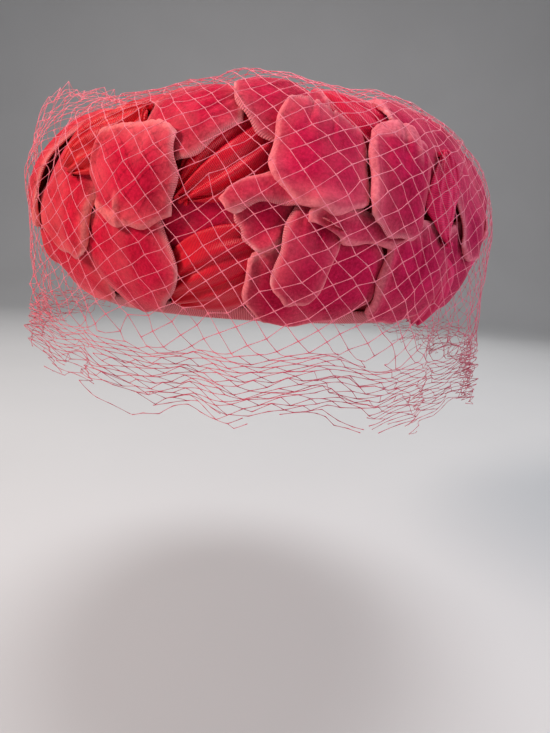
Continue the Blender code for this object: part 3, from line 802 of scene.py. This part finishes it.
# %% Petal table
PETAL_COLUMNS = (
    "name", "azimuth", "rise", "length", "width", "turn", "root", "puff", "curl", "lobes", "sides",
)
PETALS = (
    ("velvet_front_01", -12, 39, 34, 46, 60, 0.9, 4.0, 0.5, 1, "ffff"),
    ("velvet_front_02", 14, 20, 33, 54, 13, 0.9, 4.5, 0.8, 1, "ffff"),
    ("velvet_front_03", 56, 27, 40, 40, 20, 0.9, 5.0, 0.8, 1, "sfff"),
    ("velvet_front_04", -50, 26, 42, 44, -12, 0.9, 5.0, 0.8, 1, "fssf"),
    ("velvet_front_05", -27, 25, 40, 44, 32, 0.9, 6.0, 1.2, 1, "fssf"),
    ("velvet_front_06", 10, 32, 33, 19, -16, 0.9, 6.0, 1.2, 1, "sfff"),
    ("velvet_front_07", 36, 24, 38, 32, 10, 0.9, 6.0, 1.2, 1, "fsff"),
    ("velvet_front_08", 4, 74, 27, 29, -44, 0.9, 4.0, 1.0, 1, "ffsf"),
    ("velvet_front_09", -14, 72, 33, 36, -60, 0.9, 4.5, 1.2, 1, "fssf"),
    ("velvet_front_10", 39, 73, 40, 44, -38, 0.9, 5.0, 1.2, 1, "ffsf"),
    ("velvet_front_11", 59, 57, 46, 40, 10, 0.9, 5.0, 1.2, 1, "sfff"),
    ("velvet_front_12", -43, 48, 44, 38, -18, 0.9, 6.0, 1.2, 1, "sfsf"),
    ("velvet_front_13", -22.5, 50, 28, 36, -3, 0.95, 7.0, 1.5, 1, "ssff"),
    ("velvet_front_14", 11.5, 57, 27.5, 33, -9, 0.95, 6.5, 1.5, 1, "fffs"),
    ("velvet_front_15", 27, 53, 31, 28.5, -9, 0.95, 6.5, 1.5, 1, "fssf"),
    ("velvet_front_16", 2.5, 41, 20, 18, -58, 0.7, 4.0, 0.8, 1, "ffsf"),
    ("velvet_front_17", 3, 45, 31, 8, -88, 0.6, 3.0, 0.8, 1, "fsff"),
    ("velvet_front_18", 20, 41, 40, 10, 88, 0.6, 3.0, 0.8, 1, "fsff"),
    ("velvet_side_01", 83, 26, 44, 84, 4, 0.95, 5.0, 1.0, 2, "ssff"),
    ("velvet_side_02", 124, 26, 44, 84, -6, 0.95, 5.0, 1.0, 2, "ssff"),
    ("velvet_side_03", 164, 26, 44, 84, 5, 0.95, 5.0, 1.0, 2, "ssff"),
    ("velvet_side_04", 203, 26, 44, 84, -4, 0.95, 5.0, 1.0, 2, "ssff"),
    ("velvet_side_05", 243, 26, 44, 84, 6, 0.95, 5.0, 1.0, 2, "ssff"),
    ("velvet_side_06", 282, 26, 44, 72, -5, 0.95, 5.0, 1.0, 2, "ssff"),
    ("velvet_side_07", 92, 61, 50, 74, -7, 0.95, 5.5, 1.4, 2, "ssff"),
    ("velvet_side_08", 133, 61, 50, 74, 5, 0.95, 5.5, 1.4, 2, "ssff"),
    ("velvet_side_09", 174, 61, 50, 76, -5, 0.95, 5.5, 1.4, 2, "ssff"),
    ("velvet_side_10", 215, 61, 50, 74, 6, 0.95, 5.5, 1.4, 2, "ssff"),
    ("velvet_side_11", 256, 61, 50, 74, -6, 0.95, 5.5, 1.4, 2, "ssff"),
    ("velvet_side_12", 291.5, 61, 50, 71, 4, 0.95, 5.0, 1.4, 2, "ssff"),
    ("velvet_top_01", 20, 106, 52, 88, 6, 0.7, 4.5, 1.0, 2, "ssff"),
    ("velvet_top_02", 92, 106, 52, 92, -5, 0.7, 4.5, 1.0, 2, "ssff"),
    ("velvet_top_03", 164, 106, 52, 90, 5, 0.7, 4.5, 1.0, 2, "ssff"),
    ("velvet_top_04", 236, 106, 52, 92, -6, 0.7, 4.5, 1.0, 2, "ssff"),
    ("velvet_top_05", 308, 106, 52, 90, 5, 0.7, 4.5, 1.0, 2, "ssff"),
    ("velvet_top_06", 50, 142, 52, 58, 10, 0.6, 4.0, 1.0, 1, "ssff"),
    ("velvet_top_07", 140, 142, 52, 58, -8, 0.6, 4.0, 1.0, 1, "ssff"),
    ("velvet_top_08", 230, 142, 52, 58, 9, 0.6, 4.0, 1.0, 1, "ssff"),
    ("velvet_top_09", 320, 142, 52, 58, -10, 0.6, 4.0, 1.0, 1, "ssff"),
)
LOOP_COLUMNS = ("name", "azimuth", "rise", "length", "width", "turn", "pinch", "puff", "twisted")
LOOPS = (
    ("faille_front_01", -32.5, 64.5, 34, 24, -50, 0.6, 5.5, False),
    ("faille_front_02", -3, 60, 50, 27, -51, 0.75, 4.0, False),
    ("faille_front_03", 21, 76, 34, 24, 60, 0.8, 5.0, False),
    ("faille_front_04", 41.5, 51, 28, 21, 12, 0.7, 5.0, False),
    ("faille_front_05", -6, 21, 48, 30, -68, 0.45, 5.0, False),
    ("faille_front_06", 48, 19, 34, 24, 36, 0.7, 5.0, False),
    ("faille_front_07", -60, 42, 36, 22, -30, 0.7, 5.0, False),
    ("faille_side_01", 72, 52, 44, 22, 20, 0.6, 5.0, True),
    ("faille_side_02", 112, 54, 48, 24, -12, 0.6, 5.0, True),
    ("faille_side_03", 195, 54, 48, 24, 12, 0.6, 5.0, True),
    ("faille_side_04", 236, 54, 48, 24, -12, 0.6, 5.0, True),
    ("faille_top_01", 0, 166, 34, 28, 20, 0.6, 4.0, True),
)
LAYERS = (
    "velvet_front_01", "velvet_side_01", "velvet_side_03", "velvet_side_05",
    "velvet_side_02", "velvet_side_04", "velvet_side_06", "faille_front_07", "faille_front_05",
    "velvet_front_02",
    "velvet_front_04", "velvet_front_03", "faille_front_06", "velvet_front_05", "velvet_front_07",
    "faille_side_01", "faille_side_02", "faille_side_03", "faille_side_04",
    "velvet_top_01", "velvet_top_03", "velvet_top_05", "velvet_top_02", "velvet_top_04",
    "faille_front_03", "faille_front_02",
    "velvet_front_11", "velvet_front_12", "velvet_front_09", "faille_front_01", "velvet_front_08",
    "velvet_front_10",
    "velvet_side_07", "velvet_side_09", "velvet_side_11", "velvet_side_12", "velvet_side_08",
    "velvet_side_10",
    "faille_front_04", "velvet_front_16", "velvet_front_06", "velvet_front_17", "velvet_front_18",
    "velvet_front_13", "velvet_front_14", "velvet_front_15",
    "velvet_top_06", "velvet_top_08", "velvet_top_07", "velvet_top_09", "faille_top_01",
)
print(len(PETALS), "petals,", len(LOOPS), "loops")

# %% [markdown]
# ## Shape of a petal
# A petal is a short length of velvet ribbon, gathered at its root and rounded at its nose. It could be
# sculpted, but a formula keeps 39 of them alike and easy to change. It is a dome for each lobe, with
# edges that wobble a little and a few soft creases that run from where it is gathered. Two narrow petals
# are also bent sideways.

# %% Shape of a petal
NOSE_ROUND = 0.13
ROOT_ROUND = 0.10
CORNER_ROUND = 0.15
WOBBLE = 0.55
CREASE_DEPTH = 1.0
# Millimetres to the side, at the middle of the petal's length.
BENDS = {"velvet_front_17": -3.0, "velvet_front_18": -1.8}
random = np.random.default_rng(7)


def turned(p, across, along):
    """(azimuth, rise) of a piece's own points, once it is turned."""
    turn = math.radians(p["turn"])
    x = across * math.cos(turn) + along * math.sin(turn)
    y = along * math.cos(turn) - across * math.sin(turn)
    return spread(p["azimuth"], p["rise"], x, y)


def smooth(x):
    """A step from 0 to 1 with soft ends."""
    x = np.clip(x, 0.0, 1.0)
    return x * x * (3 - 2 * x)


def creases(u, v, count):
    """Soft creases from the root towards the nose, each at its own slant."""
    found = np.zeros(u.shape)
    for _ in range(count):
        start = random.uniform(-0.8, 0.8)
        slant = random.uniform(-0.5, 0.5)
        width = random.uniform(0.05, 0.11)
        reach = random.uniform(0.35, 0.8)
        away = (u - start - slant * v) / (width * (0.6 + v))
        depth = CREASE_DEPTH * smooth((reach - v) / reach * 1.6)
        found -= random.uniform(0.5, 1.0) * depth * np.exp(-(away**2))
        found += 0.4 * depth * np.exp(-((away - 1.8) ** 2))
    return found


def petal_surface(p, u, v):
    """(azimuth, rise, own height) over one petal."""
    s, t = u, 2 * v - 1
    if p["lobes"] == 1:
        u = s * np.sqrt(1 - CORNER_ROUND * t * t)
        v = (1 + t * np.sqrt(1 - CORNER_ROUND * s * s)) / 2
    lobe = (u + 1) / 2 * p["lobes"]
    lobe = 2 * (lobe - np.clip(np.floor(lobe), 0, p["lobes"] - 1)) - 1
    share = p["root"] + (1 - p["root"]) * np.sin(np.pi / 2 * np.minimum(1.0, v / 0.6))
    across = u * p["width"] / 2 * share * (1 - 0.10 * v**6)
    along = (v - 0.5) * p["length"]
    along = along - p["length"] * NOSE_ROUND * np.abs(lobe) ** 2.5 * np.clip(2 * v - 1, 0, 1)
    along = along + p["length"] * ROOT_ROUND * np.abs(lobe) ** 3 * np.clip(1 - 2 * v, 0, 1)
    phase = p["azimuth"] + p["rise"]
    across = across + WOBBLE * u**3 * np.sin(1.7 * TAU * v + phase) + BENDS.get(p["name"], 0.0) * (1 - t * t)
    along = along + WOBBLE * v**3 * np.sin(1.3 * TAU * u + 2 * phase)
    azimuth, rise = turned(p, across, along)
    dome = (1 - np.abs(lobe) ** 3.2) * np.sin(np.pi * (0.14 + 0.76 * v)) ** 0.8
    height = p["puff"] * dome + p["curl"] * np.abs(u) ** 4 * np.sin(np.pi * v)
    return azimuth, rise, height


print("bends of petals, in mm:", BENDS)

# %% [markdown]
# Near a fold the pile opens, and a low welt shows where the cloth turns under. The colour is paler there,
# partly from the opened pile and partly as painted sheen, and a fainter painted sheen pales the cloth
# towards every side. A selvedge is a narrow ribbed line, with ticks along it that stop at the corners. Two
# petals also have a tuck: a ridge that runs in from one end, with cloth turned up beside it, both paler as
# a painted highlight. All this could be painted on, but it is worked out from the distance to each side,
# so that colour and relief agree.

# %% Edges of a petal
SIDES = ("left", "right", "nose", "root")
SELVEDGE_WIDTH = 0.8
FOLD_WIDTH = 3.2
EDGE_SHEEN_WIDTH = 9.0
WELT_AT = 1.5
WELT_WIDTH = 1.5
WELT_HEIGHT = 0.6
GATHER_HEIGHT = 0.18
# (place across the petal, share of its length that the tuck leaves free, whether it runs in from the root)
TUCKS = {"velvet_front_13": (-0.22, 0.62, False), "velvet_front_15": (0.28, 0.62, True)}
TUCK_HEIGHT = 1.5


def side_distances(p, u, v):
    """How far each place is from the left, right, nose and root sides, in millimetres."""
    return {
        "left": (1 + u) / 2 * p["width"],
        "right": (1 - u) / 2 * p["width"],
        "nose": (1 - v) * p["length"],
        "root": v * p["length"],
    }


def tuck(p, u, v):
    """(ridge, band): a tuck that runs in from the nose or the root, and the cloth turned up beside it."""
    if p["name"] not in TUCKS:
        return 0 * u, 0 * u
    at, start, from_root = TUCKS[p["name"]]
    v = 1 - v if from_root else v
    away = (u - at - 0.12 * (1 - v)) * p["width"] / 2
    ridge = np.exp(-((away / 1.3) ** 2)) * smooth((v - start) / 0.2)
    return ridge, smooth(-away / 1.5) * smooth((v - start - 0.19) / 0.07)


def rim_values(p, u, v):
    """(rim, fold, along, tick): selvedge, opened pile and painted sheen, place along the side, share of
    ticks.
    """
    rim = np.zeros(u.shape)
    fold = np.zeros(u.shape)
    away = side_distances(p, u, v)
    nearest = np.full(u.shape, 1e9)
    along = v * p["length"]
    ordered = np.sort([away[side] for side in SIDES], axis=0)
    for side, kind in zip(SIDES, p["sides"]):
        distance = away[side]
        # A faint paleness towards every side is painted sheen.
        edge_sheen = 0.26 * smooth((EDGE_SHEEN_WIDTH - distance) / EDGE_SHEEN_WIDTH) ** 1.4
        if kind == "s":
            rim = np.maximum(rim, smooth((SELVEDGE_WIDTH + 0.5 - distance) / 1.0))
            fold = np.maximum(fold, edge_sheen)
        else:
            # At a fold the paleness is partly opened pile and partly painted sheen.
            soft = 0.16 * smooth((FOLD_WIDTH - distance) / FOLD_WIDTH) ** 2
            fold = np.maximum(fold, edge_sheen + soft + 0.58 * smooth((1.5 - distance) / 0.9))
        closer = distance < nearest
        nearest = np.where(closer, distance, nearest)
        along = np.where(closer, v * p["length"] if side in ("left", "right") else u * p["width"] / 2, along)
    ridge, band = tuck(p, u, v)
    # The ridge of a tuck and the cloth beside it are paler: painted highlight.
    fold = np.maximum(fold, np.maximum(0.85 * ridge, 0.75 * band))
    return rim, fold, along, rim * smooth((ordered[1] - 1.5) / 2.5)


def petal_extra(p, u, v):
    """Creases, the gathers at the root, and a welt where the cloth turns under at a fold."""
    gathers = GATHER_HEIGHT * np.cos(9 * np.pi * u + 1.3) * (1 - v) ** 3
    away = side_distances(p, u, v)
    welt = np.zeros(u.shape)
    for side, kind in zip(SIDES[:3], p["sides"]):
        height = WELT_HEIGHT if kind == "f" else 0.5 * WELT_HEIGHT
        welt = np.maximum(welt, height * np.exp(-(((away[side] - WELT_AT) / WELT_WIDTH) ** 2)))
    ridge, band = tuck(p, u, v)
    return creases(u, v, 3 * p["lobes"]) + gathers + welt + TUCK_HEIGHT * ridge + 0.5 * band


print("tucks:", list(TUCKS))

# %% [markdown]
# ## Shape of a loop
# A loop is a ribbon folded over itself and pinched where it is sewn: at both ends or, where it is twisted,
# at its waist. Pleats run along it and are deepest at the pinch. A folded ribbon could be bent step by
# step. Here two waves across the ribbon are enough, with low crests and deep valleys.

# %% Shape of a loop
PLEAT_HEIGHT = 0.7


def loop_surface(p, u, v):
    """(azimuth, rise, own height) over one loop, narrow at its ends or, where it is twisted, at its waist."""
    middle = np.abs(2 * v - 1)
    if p["twisted"]:
        share = 1 - 0.8 * p["pinch"] * (1 - middle**1.5)
    else:
        share = 1 - p["pinch"] * middle**2
    across = u * p["width"] / 2 * share
    along = (v - 0.5) * p["length"] * (1 - 0.10 * u * u)
    azimuth, rise = turned(p, across, along)
    dome = (1 - np.abs(u) ** 2.2) * (0.55 + 0.45 * np.sin(np.pi * v))
    return azimuth, rise, p["puff"] * dome


def loop_extra(p, u, v):
    """Pleats that run the length of the loop, deepest where it is pinched."""
    phase = random.uniform(0, TAU)
    pleats = np.cos(4.2 * np.pi * u + 2.4 * v + phase) + 0.5 * np.cos(7.3 * np.pi * u - 1.8 * v + 2 * phase)
    middle = np.abs(2 * v - 1)
    pinched = 1 - middle if p["twisted"] else middle
    return PLEAT_HEIGHT * (1 + pinched) * (pleats - 0.5 * np.abs(pleats)) * (1 - u**4)


print("twisted loops:", sum(row[-1] for row in LOOPS))

# %% [markdown]
# ## Edges turned under
# Cloth that is turned under has a round edge. Solidify and Bevel could round it, but alike on all four
# sides. Here rings of vertices carry the border outwards and under, in a wide round at a fold and a tight
# one at a selvedge.

# %% Edges turned under
FOLD_RADIUS = 1.25
SELVEDGE_RADIUS = 0.45
RIBBON_RADIUS = 0.7
RINGS = 6
WRAP_ANGLE = 165.0


def wrap_rings(points, out, border, radius):
    """Rings of points that carry a sheet's border outwards, under and a little back in."""
    edge = points[border]
    along = np.roll(edge, -1, axis=0) - np.roll(edge, 1, axis=0)
    away = np.cross(along, out[border])
    away /= np.maximum(np.linalg.norm(away, axis=1, keepdims=True), 1e-9)
    centre = points.reshape(-1, 3).mean(axis=0)
    if ((edge - centre) * away).sum() < 0:
        away = -away
    away = round_mean(away, 2)
    away /= np.maximum(np.linalg.norm(away, axis=1, keepdims=True), 1e-9)
    rings = []
    for k in range(1, RINGS + 1):
        angle = math.radians(WRAP_ANGLE) * k / RINGS
        step = away * math.sin(angle) - out[border] * (1 - math.cos(angle))
        rings.append(edge + radius[:, None] * step)
    rings.append(rings[-1] - away * (1.0 + 0.4 * radius[:, None]))
    return rings


def surface_normals(points):
    """Unit normals of a grid of points, on the side that faces away from the foundation's middle."""
    down = np.gradient(points, axis=0)
    across = np.gradient(points, axis=1)
    out = np.cross(across, down)
    out /= np.maximum(np.linalg.norm(out, axis=2, keepdims=True), 1e-9)
    if (out * (points - (0, 0, 20))).sum() < 0:
        out = -out
    return out


print("an edge wraps through", WRAP_ANGLE, "degrees in", RINGS, "rings")

# %% [markdown]
# ## Laying a piece
# Everything before comes together here. A grid gets its surface, is settled on the cloth below it, creased,
# turned under at its border and marked for its material, and the height maps are raised by it. Its flat
# size, as it would be cut, is that of its two middle lines with the cloth under the edges added.

# %% Laying a piece
PETAL_WALL = 1.4
RIBBON_WALL = 1.2
PETAL_SOFTNESS = 220
LOOP_SOFTNESS = 160
# Share of a full turn that the cloth wraps round an edge, for its flat size.
WRAP_TURN = 0.46


def flat_size(points, radius):
    """(across, along) of a cloth laid flat, in millimetres."""
    wrapped = 2 * TAU * WRAP_TURN * radius.mean()
    middle_lines = points[len(points) // 2], points[:, points.shape[1] // 2]
    return [np.linalg.norm(np.diff(line, axis=0), axis=1).sum() + wrapped for line in middle_lines]


def lay(name, p, surface, extra, wall, softness, radii, finish):
    """Makes one piece, lays it over those before it and returns its object and its flat size."""
    columns, rows = (max(8, round(p[side] / GRID_MM)) for side in ("width", "length"))
    shape, vertices, u, v = grid_sheet(columns, rows)
    azimuth, rise, own = surface(p, u, v)
    height = settled(name, azimuth, rise, own, wall, softness) + extra(p, u, v)
    points = place(azimuth, rise, height)
    laid.add(finer(azimuth, 2).ravel(), finer(rise, 2).ravel(), finer(height, 2).ravel())

    border = border_of(u.shape)
    reach = {side: away[border] for side, away in side_distances(p, u, v).items()}
    nearest = np.argmin([reach[side] for side in SIDES], axis=0)
    radius = round_mean(np.array([radii[p.get("sides", "ssss")[k]] for k in nearest]), 4)
    for vertex, point in zip(vertices.ravel(), points.reshape(-1, 3)):
        vertex.co = point
    rings = wrap_rings(points, surface_normals(points), border, radius)
    made = extrude_rings(shape, list(vertices[border]), rings)

    marks = rim_values(p, u, v) if "sides" in p else (0 * u, 0 * u, v * p["length"], 0 * u)
    own_values = np.stack([u * p["width"] / 2, v * p["length"], *marks], -1)
    shape.verts.index_update()
    values = np.zeros((len(shape.verts), 2 + len(MARKS)))
    values[[vertex.index for vertex in vertices.ravel()]] = own_values.reshape(-1, 2 + len(MARKS))
    for ring in made:
        values[[vertex.index for vertex in ring]] = own_values[border]
    bmesh.ops.recalc_face_normals(shape, faces=shape.faces[:])
    return to_object(name + "_cloth", shape, values, finish), flat_size(points, radius)


print("walls:", PETAL_WALL, "mm for velvet and", RIBBON_WALL, "mm for faille")

# %% [markdown]
# The pieces are laid from the lowest to the highest. Each is then attached to what it rides on, and the
# solid that it stands for is hidden.

# %% All petals and loops
petals = {row[0]: dict(zip(PETAL_COLUMNS, row)) for row in PETALS}
loops = {row[0]: dict(zip(LOOP_COLUMNS, row)) for row in LOOPS}
petal_radii = {"f": FOLD_RADIUS, "s": SELVEDGE_RADIUS}
petal_way = (petal_surface, petal_extra, PETAL_WALL, PETAL_SOFTNESS, petal_radii, velvet)
loop_way = (loop_surface, loop_extra, RIBBON_WALL, LOOP_SOFTNESS, {"s": RIBBON_RADIUS}, faille)
added = 0
for name in LAYERS:
    if name in petals:
        piece, flat = lay(name, petals[name], *petal_way)
    else:
        piece, flat = lay(name, loops[name], *loop_way)
    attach(piece, "root")
    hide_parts(name)
    added += sum(len(face.vertices) - 2 for face in piece.data.polygons)
print("petals and loops:", added, "triangles")

# %% [markdown]
# ## Veil
# The veil is one piece of net. It lies on the petals, stands off in a loose puff on one side and falls free
# past the rim to a frayed hem, where its rows bunch up. A net spans small hollows. It could be pressed onto
# the finished pieces by a modifier, but it lies on smoothed copies of the height maps instead, which hold
# their outer face already. The brim is how far the cloth of the side reaches out at each azimuth, and the
# fall hangs from there.

# %% Cloth under the veil
VEIL_CLEARANCE = 0.9
COVER_REACH = 6
COVER_BLUR = 40
BRIM_FROM = 14.0
BRIM_TO = 70.0
BRIM_REACH = 20
BRIM_BLUR = 150
# Cells that a map of the side is lengthened by at each end, so that it closes on itself when it is smoothed.
OVERLAP = 30
BRIM_OVERLAP = 120

side_round = np.pad(laid.side, ((OVERLAP, OVERLAP), (0, 0)), mode="wrap")
cover_side = blurred(widened(side_round, COVER_REACH), COVER_BLUR)[OVERLAP:-OVERLAP]
cover_crown = blurred(widened(laid.crown, COVER_REACH), COVER_BLUR)
brim_cells = slice(round(BRIM_FROM / MAP_STEP), round(BRIM_TO / MAP_STEP))
brim = np.pad(laid.side[:, brim_cells].max(axis=1), BRIM_OVERLAP, mode="wrap")
brim = blurred(widened(brim[:, None], BRIM_REACH), BRIM_BLUR)[BRIM_OVERLAP:-BRIM_OVERLAP, 0]


def covered(azimuth, rise):
    """Height of the cloth that the veil lies on."""
    low = cover_side[laid.side_cells(azimuth, rise)]
    return np.where(rise < FLAT_FROM, low, cover_crown[laid.crown_cells(azimuth, rise)])


print(f"the brim reaches {brim.min():.1f} to {brim.max():.1f} mm out from the shell")

# %% [markdown]
# A simulation could drape the net, but the puff and the bunched rows have to be where the photograph shows
# them, so a function gives the place of every knot. It blends two surfaces, the one that lies on the cloth
# and the one that hangs from the brim. The net is kept in two pieces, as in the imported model.

# %% Veil surface
VEIL_PARTING = 50.0
VEIL_TOP_RISE = 155.0
PUFF_HEIGHT = 20.0
PUFF_AZIMUTH = 280.0
PUFF_RISE = 78.0
PUFF_REACH = 17.0
FALL_RISE = 44.0
FALL_TOP_RISE = VEIL_PARTING - 1.6
HEM_HEIGHT = -19.0
HEM_DROP_FRONT = 10.5
HEM_DROP_RIGHT = 7.0
# The fall's rows open a little at first, and from this share of its length on they bunch up.
OPEN = 1.12
BUNCH_FROM = 0.66
BUNCH = 0.26


def hem_height(azimuth):
    """Height of the veil's lower edge: lowest at the front and on the +X side, shortest at the back."""
    angle = np.radians(azimuth)
    wave = 2.5 * np.sin(5 * angle + 0.6) + 1.5 * np.sin(9 * angle)
    return HEM_HEIGHT - HEM_DROP_FRONT * np.cos(angle) - HEM_DROP_RIGHT * np.sin(angle) + wave


def puff(azimuth, rise):
    away = (azimuth - PUFF_AZIMUTH + 180) % 360 - 180
    return PUFF_HEIGHT * np.exp(-((away / PUFF_REACH) ** 2) - ((rise - PUFF_RISE) / PUFF_REACH) ** 2)


def fall_top(azimuth):
    """(height out from the shell, height in the world) of the line that the fall hangs from."""
    high = brim[laid.side_cells(azimuth, 0.0)[0]] + VEIL_CLEARANCE
    return high, place(azimuth, FALL_TOP_RISE, high)[..., 2]


def drop_at(azimuth):
    """Length of the fall from the parting to the hem."""
    return fall_top(azimuth)[1] - hem_height(azimuth)


# The net has the same mesh all over, so s counts true length along it, and a table gives the rise that fits.
RISES = np.linspace(VEIL_PARTING, VEIL_TOP_RISE, 120)
around, upward = np.meshgrid(np.arange(0, 360, 10.0), RISES, indexing="ij")
lines = place(around, upward, blurred(covered(around, upward), 30))
climb = np.linalg.norm(np.diff(lines, axis=1), axis=2).mean(axis=0)
LENGTHS = VEIL_PARTING + np.concatenate([[0.0], np.cumsum(climb)])
VEIL_CENTRE = LENGTHS[-1]


def veil(azimuth, s, stray):
    """A point of the veil. s counts true length up the net, and stray loosens a strand."""
    azimuth, s = np.asarray(azimuth, float), np.asarray(s, float)
    rise = np.where(s < VEIL_PARTING, np.maximum(s, VEIL_PARTING - 8), np.interp(s, LENGTHS, RISES))
    loft = puff(azimuth, rise)
    lift = VEIL_CLEARANCE + loft * (0.88 + 0.10 * stray) + 0.25 * np.abs(stray)
    lying = place(azimuth, rise + 0.08 * loft * stray, covered(azimuth, rise) + lift)
    high, top = fall_top(azimuth)
    hung = place(azimuth, FALL_RISE, high)
    angle = np.radians(azimuth)
    drop = top - hem_height(azimuth)
    q = np.maximum(VEIL_PARTING - s, -8) / drop
    share = np.where(q < BUNCH_FROM, q * OPEN, BUNCH_FROM * OPEN + (q - BUNCH_FROM) * BUNCH)
    loose = np.clip(share, 0, 1.2)
    ripple = 1.2 * np.sin(7 * angle) - 3.0 * loose + 2.2 * loose * np.sin(13 * angle + 1.1)
    ripple = ripple + 1.8 * loose**2 * np.sin(29 * angle + 0.4 + 3 * loose)
    ripple = ripple + 1.8 * loose**2 * stray
    hung[..., 0] += ripple * np.sin(angle)
    hung[..., 1] -= ripple * np.cos(angle)
    hung[..., 2] = top - drop * share + 1.2 * loose * np.sin(17 * angle + 5 * loose) + 1.2 * loose**2 * stray
    blend = smooth((VEIL_PARTING + 4 - s) / 10)[..., None]
    return lying * (1 - blend) + hung * blend


print("the net is", round(VEIL_CENTRE - VEIL_PARTING), "mm long from the parting to its centre")

# %% [markdown]
# The net is knotted in diamonds. Its knots are a slanted lattice that closes on itself round the hat, each
# a little out of place, and its strands are the chains of knots along the lattice's two ways. A few are
# broken, and some run on past the hem. A sheet with holes in its texture would be lighter, but the threads'
# thickness can be seen.

# %% Strands of the net
KNOTS_ROUND = 90
KNOTS_DOWN = 62
STEP_DOWN = 3.9
STEP_UP = STEP_DOWN * KNOTS_DOWN / KNOTS_ROUND
AZIMUTH_UP = 2.75
AZIMUTH_DOWN = (360.0 - KNOTS_ROUND * AZIMUTH_UP) / KNOTS_DOWN
BROKEN = 0.028
FRAYED = 0.45
LONGEST = 1.66
J_FIRST = -5
J_LAST = 165

draw = np.random.default_rng(19)
jitter = draw.normal(0.0, 1.0, (KNOTS_ROUND, J_LAST - J_FIRST, 3))
broken = draw.random((2, KNOTS_ROUND, J_LAST - J_FIRST)) < BROKEN
loose_end = draw.uniform(6.0, 30.0, (2, J_LAST - J_FIRST)) * (draw.random((2, J_LAST - J_FIRST)) < FRAYED)


def knot(i, j):
    """(azimuth, s, stray) of a knot of the lattice, a little out of place."""
    turns, column = divmod(i, KNOTS_ROUND)
    row = j - turns * KNOTS_DOWN - J_FIRST
    shift = jitter[column, row % jitter.shape[1]]
    azimuth = i * AZIMUTH_UP + j * AZIMUTH_DOWN + 0.22 * shift[0]
    return azimuth, VEIL_CENTRE - 2.0 + i * STEP_UP - j * STEP_DOWN + 0.45 * shift[1], shift[2]


def is_there(azimuth, s, loose):
    length = drop_at(azimuth) * LONGEST + loose
    frayed = 3.0 * np.sin(azimuth * 1.7) + 2.0 * np.sin(azimuth * 5.3)
    return (s < VEIL_CENTRE) & (s > VEIL_PARTING - length + frayed)


def strands(along_rows):
    """Chains of knots along one way of the net, each as rows of (azimuth, s, stray, broken)."""
    chains = []
    way = int(along_rows)
    outer, span = range(KNOTS_ROUND), range(J_FIRST, J_LAST)
    if along_rows:
        outer, span = span, range(KNOTS_ROUND + 1)
    for fixed in outer:
        chain = []
        for free in span:
            i, j = (free, fixed) if along_rows else (fixed, free)
            azimuth, s, stray = knot(i, j)
            if is_there(azimuth, s, loose_end[way, fixed - J_FIRST]):
                chain.append((azimuth, s, stray, broken[way, i % KNOTS_ROUND, j % jitter.shape[1]]))
            else:
                chains.append(chain)
                chain = []
        chains.append(chain)
    return [chain for chain in chains if len(chain) > 1]


chains = strands(True) + strands(False)
print(len(chains), "strands,", sum(len(chain) for chain in chains), "knots")

# %% [markdown]
# A strand is a poly curve with a small bevel, thickest at the knots. The curves become one mesh for each
# piece, in the same place, because a mesh can be baked and measured. Four sides are enough for a thread a
# fifth of a millimetre thick.

# %% Tubes of the net
THREAD_RADIUS = 0.10
KNOT_SHARE = 1.8
PARTS = 3


def add_thread(curve, part):
    """Adds a spline through the knots of one unbroken part of a strand."""
    knots = np.arange(len(part))
    steps = np.arange((len(part) - 1) * PARTS + 1) / PARTS
    points = veil(*(np.interp(steps, knots, part[:, k]) for k in range(3))) * MM
    spline = curve.splines.new("POLY")
    spline.points.add(len(points) - 1)
    flat = np.concatenate([points, np.ones((len(points), 1))], 1)
    spline.points.foreach_set("co", flat.astype(np.float32).ravel())
    radius = np.where(np.arange(len(points)) % PARTS == 0, KNOT_SHARE, 1.0)
    spline.points.foreach_set("radius", radius.astype(np.float32))


def threads(name, keep):
    """One mesh of thread tubes along the chains, where keep(s) says so."""
    curve = bpy.data.curves.new(name, "CURVE")
    curve.dimensions = "3D"
    curve.bevel_depth = THREAD_RADIUS * MM
    curve.bevel_resolution = 0
    curve.use_fill_caps = True
    for chain in chains:
        rows = np.array(chain, float)
        run = []
        for k in range(len(rows) - 1):
            whole = not rows[k, 3] and keep((rows[k, 1] + rows[k + 1, 1]) / 2)
            if whole:
                run.append(k)
            if run and (not whole or k == len(rows) - 2):
                add_thread(curve, rows[run[0] : run[-1] + 2])
                run = []

    made = bpy.data.objects.new(name + "_curve", curve)
    scene.collection.objects.link(made)
    mesh = bpy.data.meshes.new_from_object(made.evaluated_get(bpy.context.evaluated_depsgraph_get()))
    bpy.data.objects.remove(made)
    mesh.name = name
    mesh.materials.clear()
    mesh.materials.append(thread)
    mesh.shade_smooth()
    piece = bpy.data.objects.new(name, mesh)
    scene.collection.objects.link(piece)
    return piece


veil_crown = threads("veil_over_crown", lambda s: s >= VEIL_PARTING)
veil_fall = threads("veil_hanging", lambda s: s < VEIL_PARTING)
for piece, solid in ((veil_crown, "veil_crown"), (veil_fall, "veil_fall")):
    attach(piece, "root")
    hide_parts(solid)
    print(piece.name, sum(len(face.vertices) - 2 for face in piece.data.polygons), "triangles")
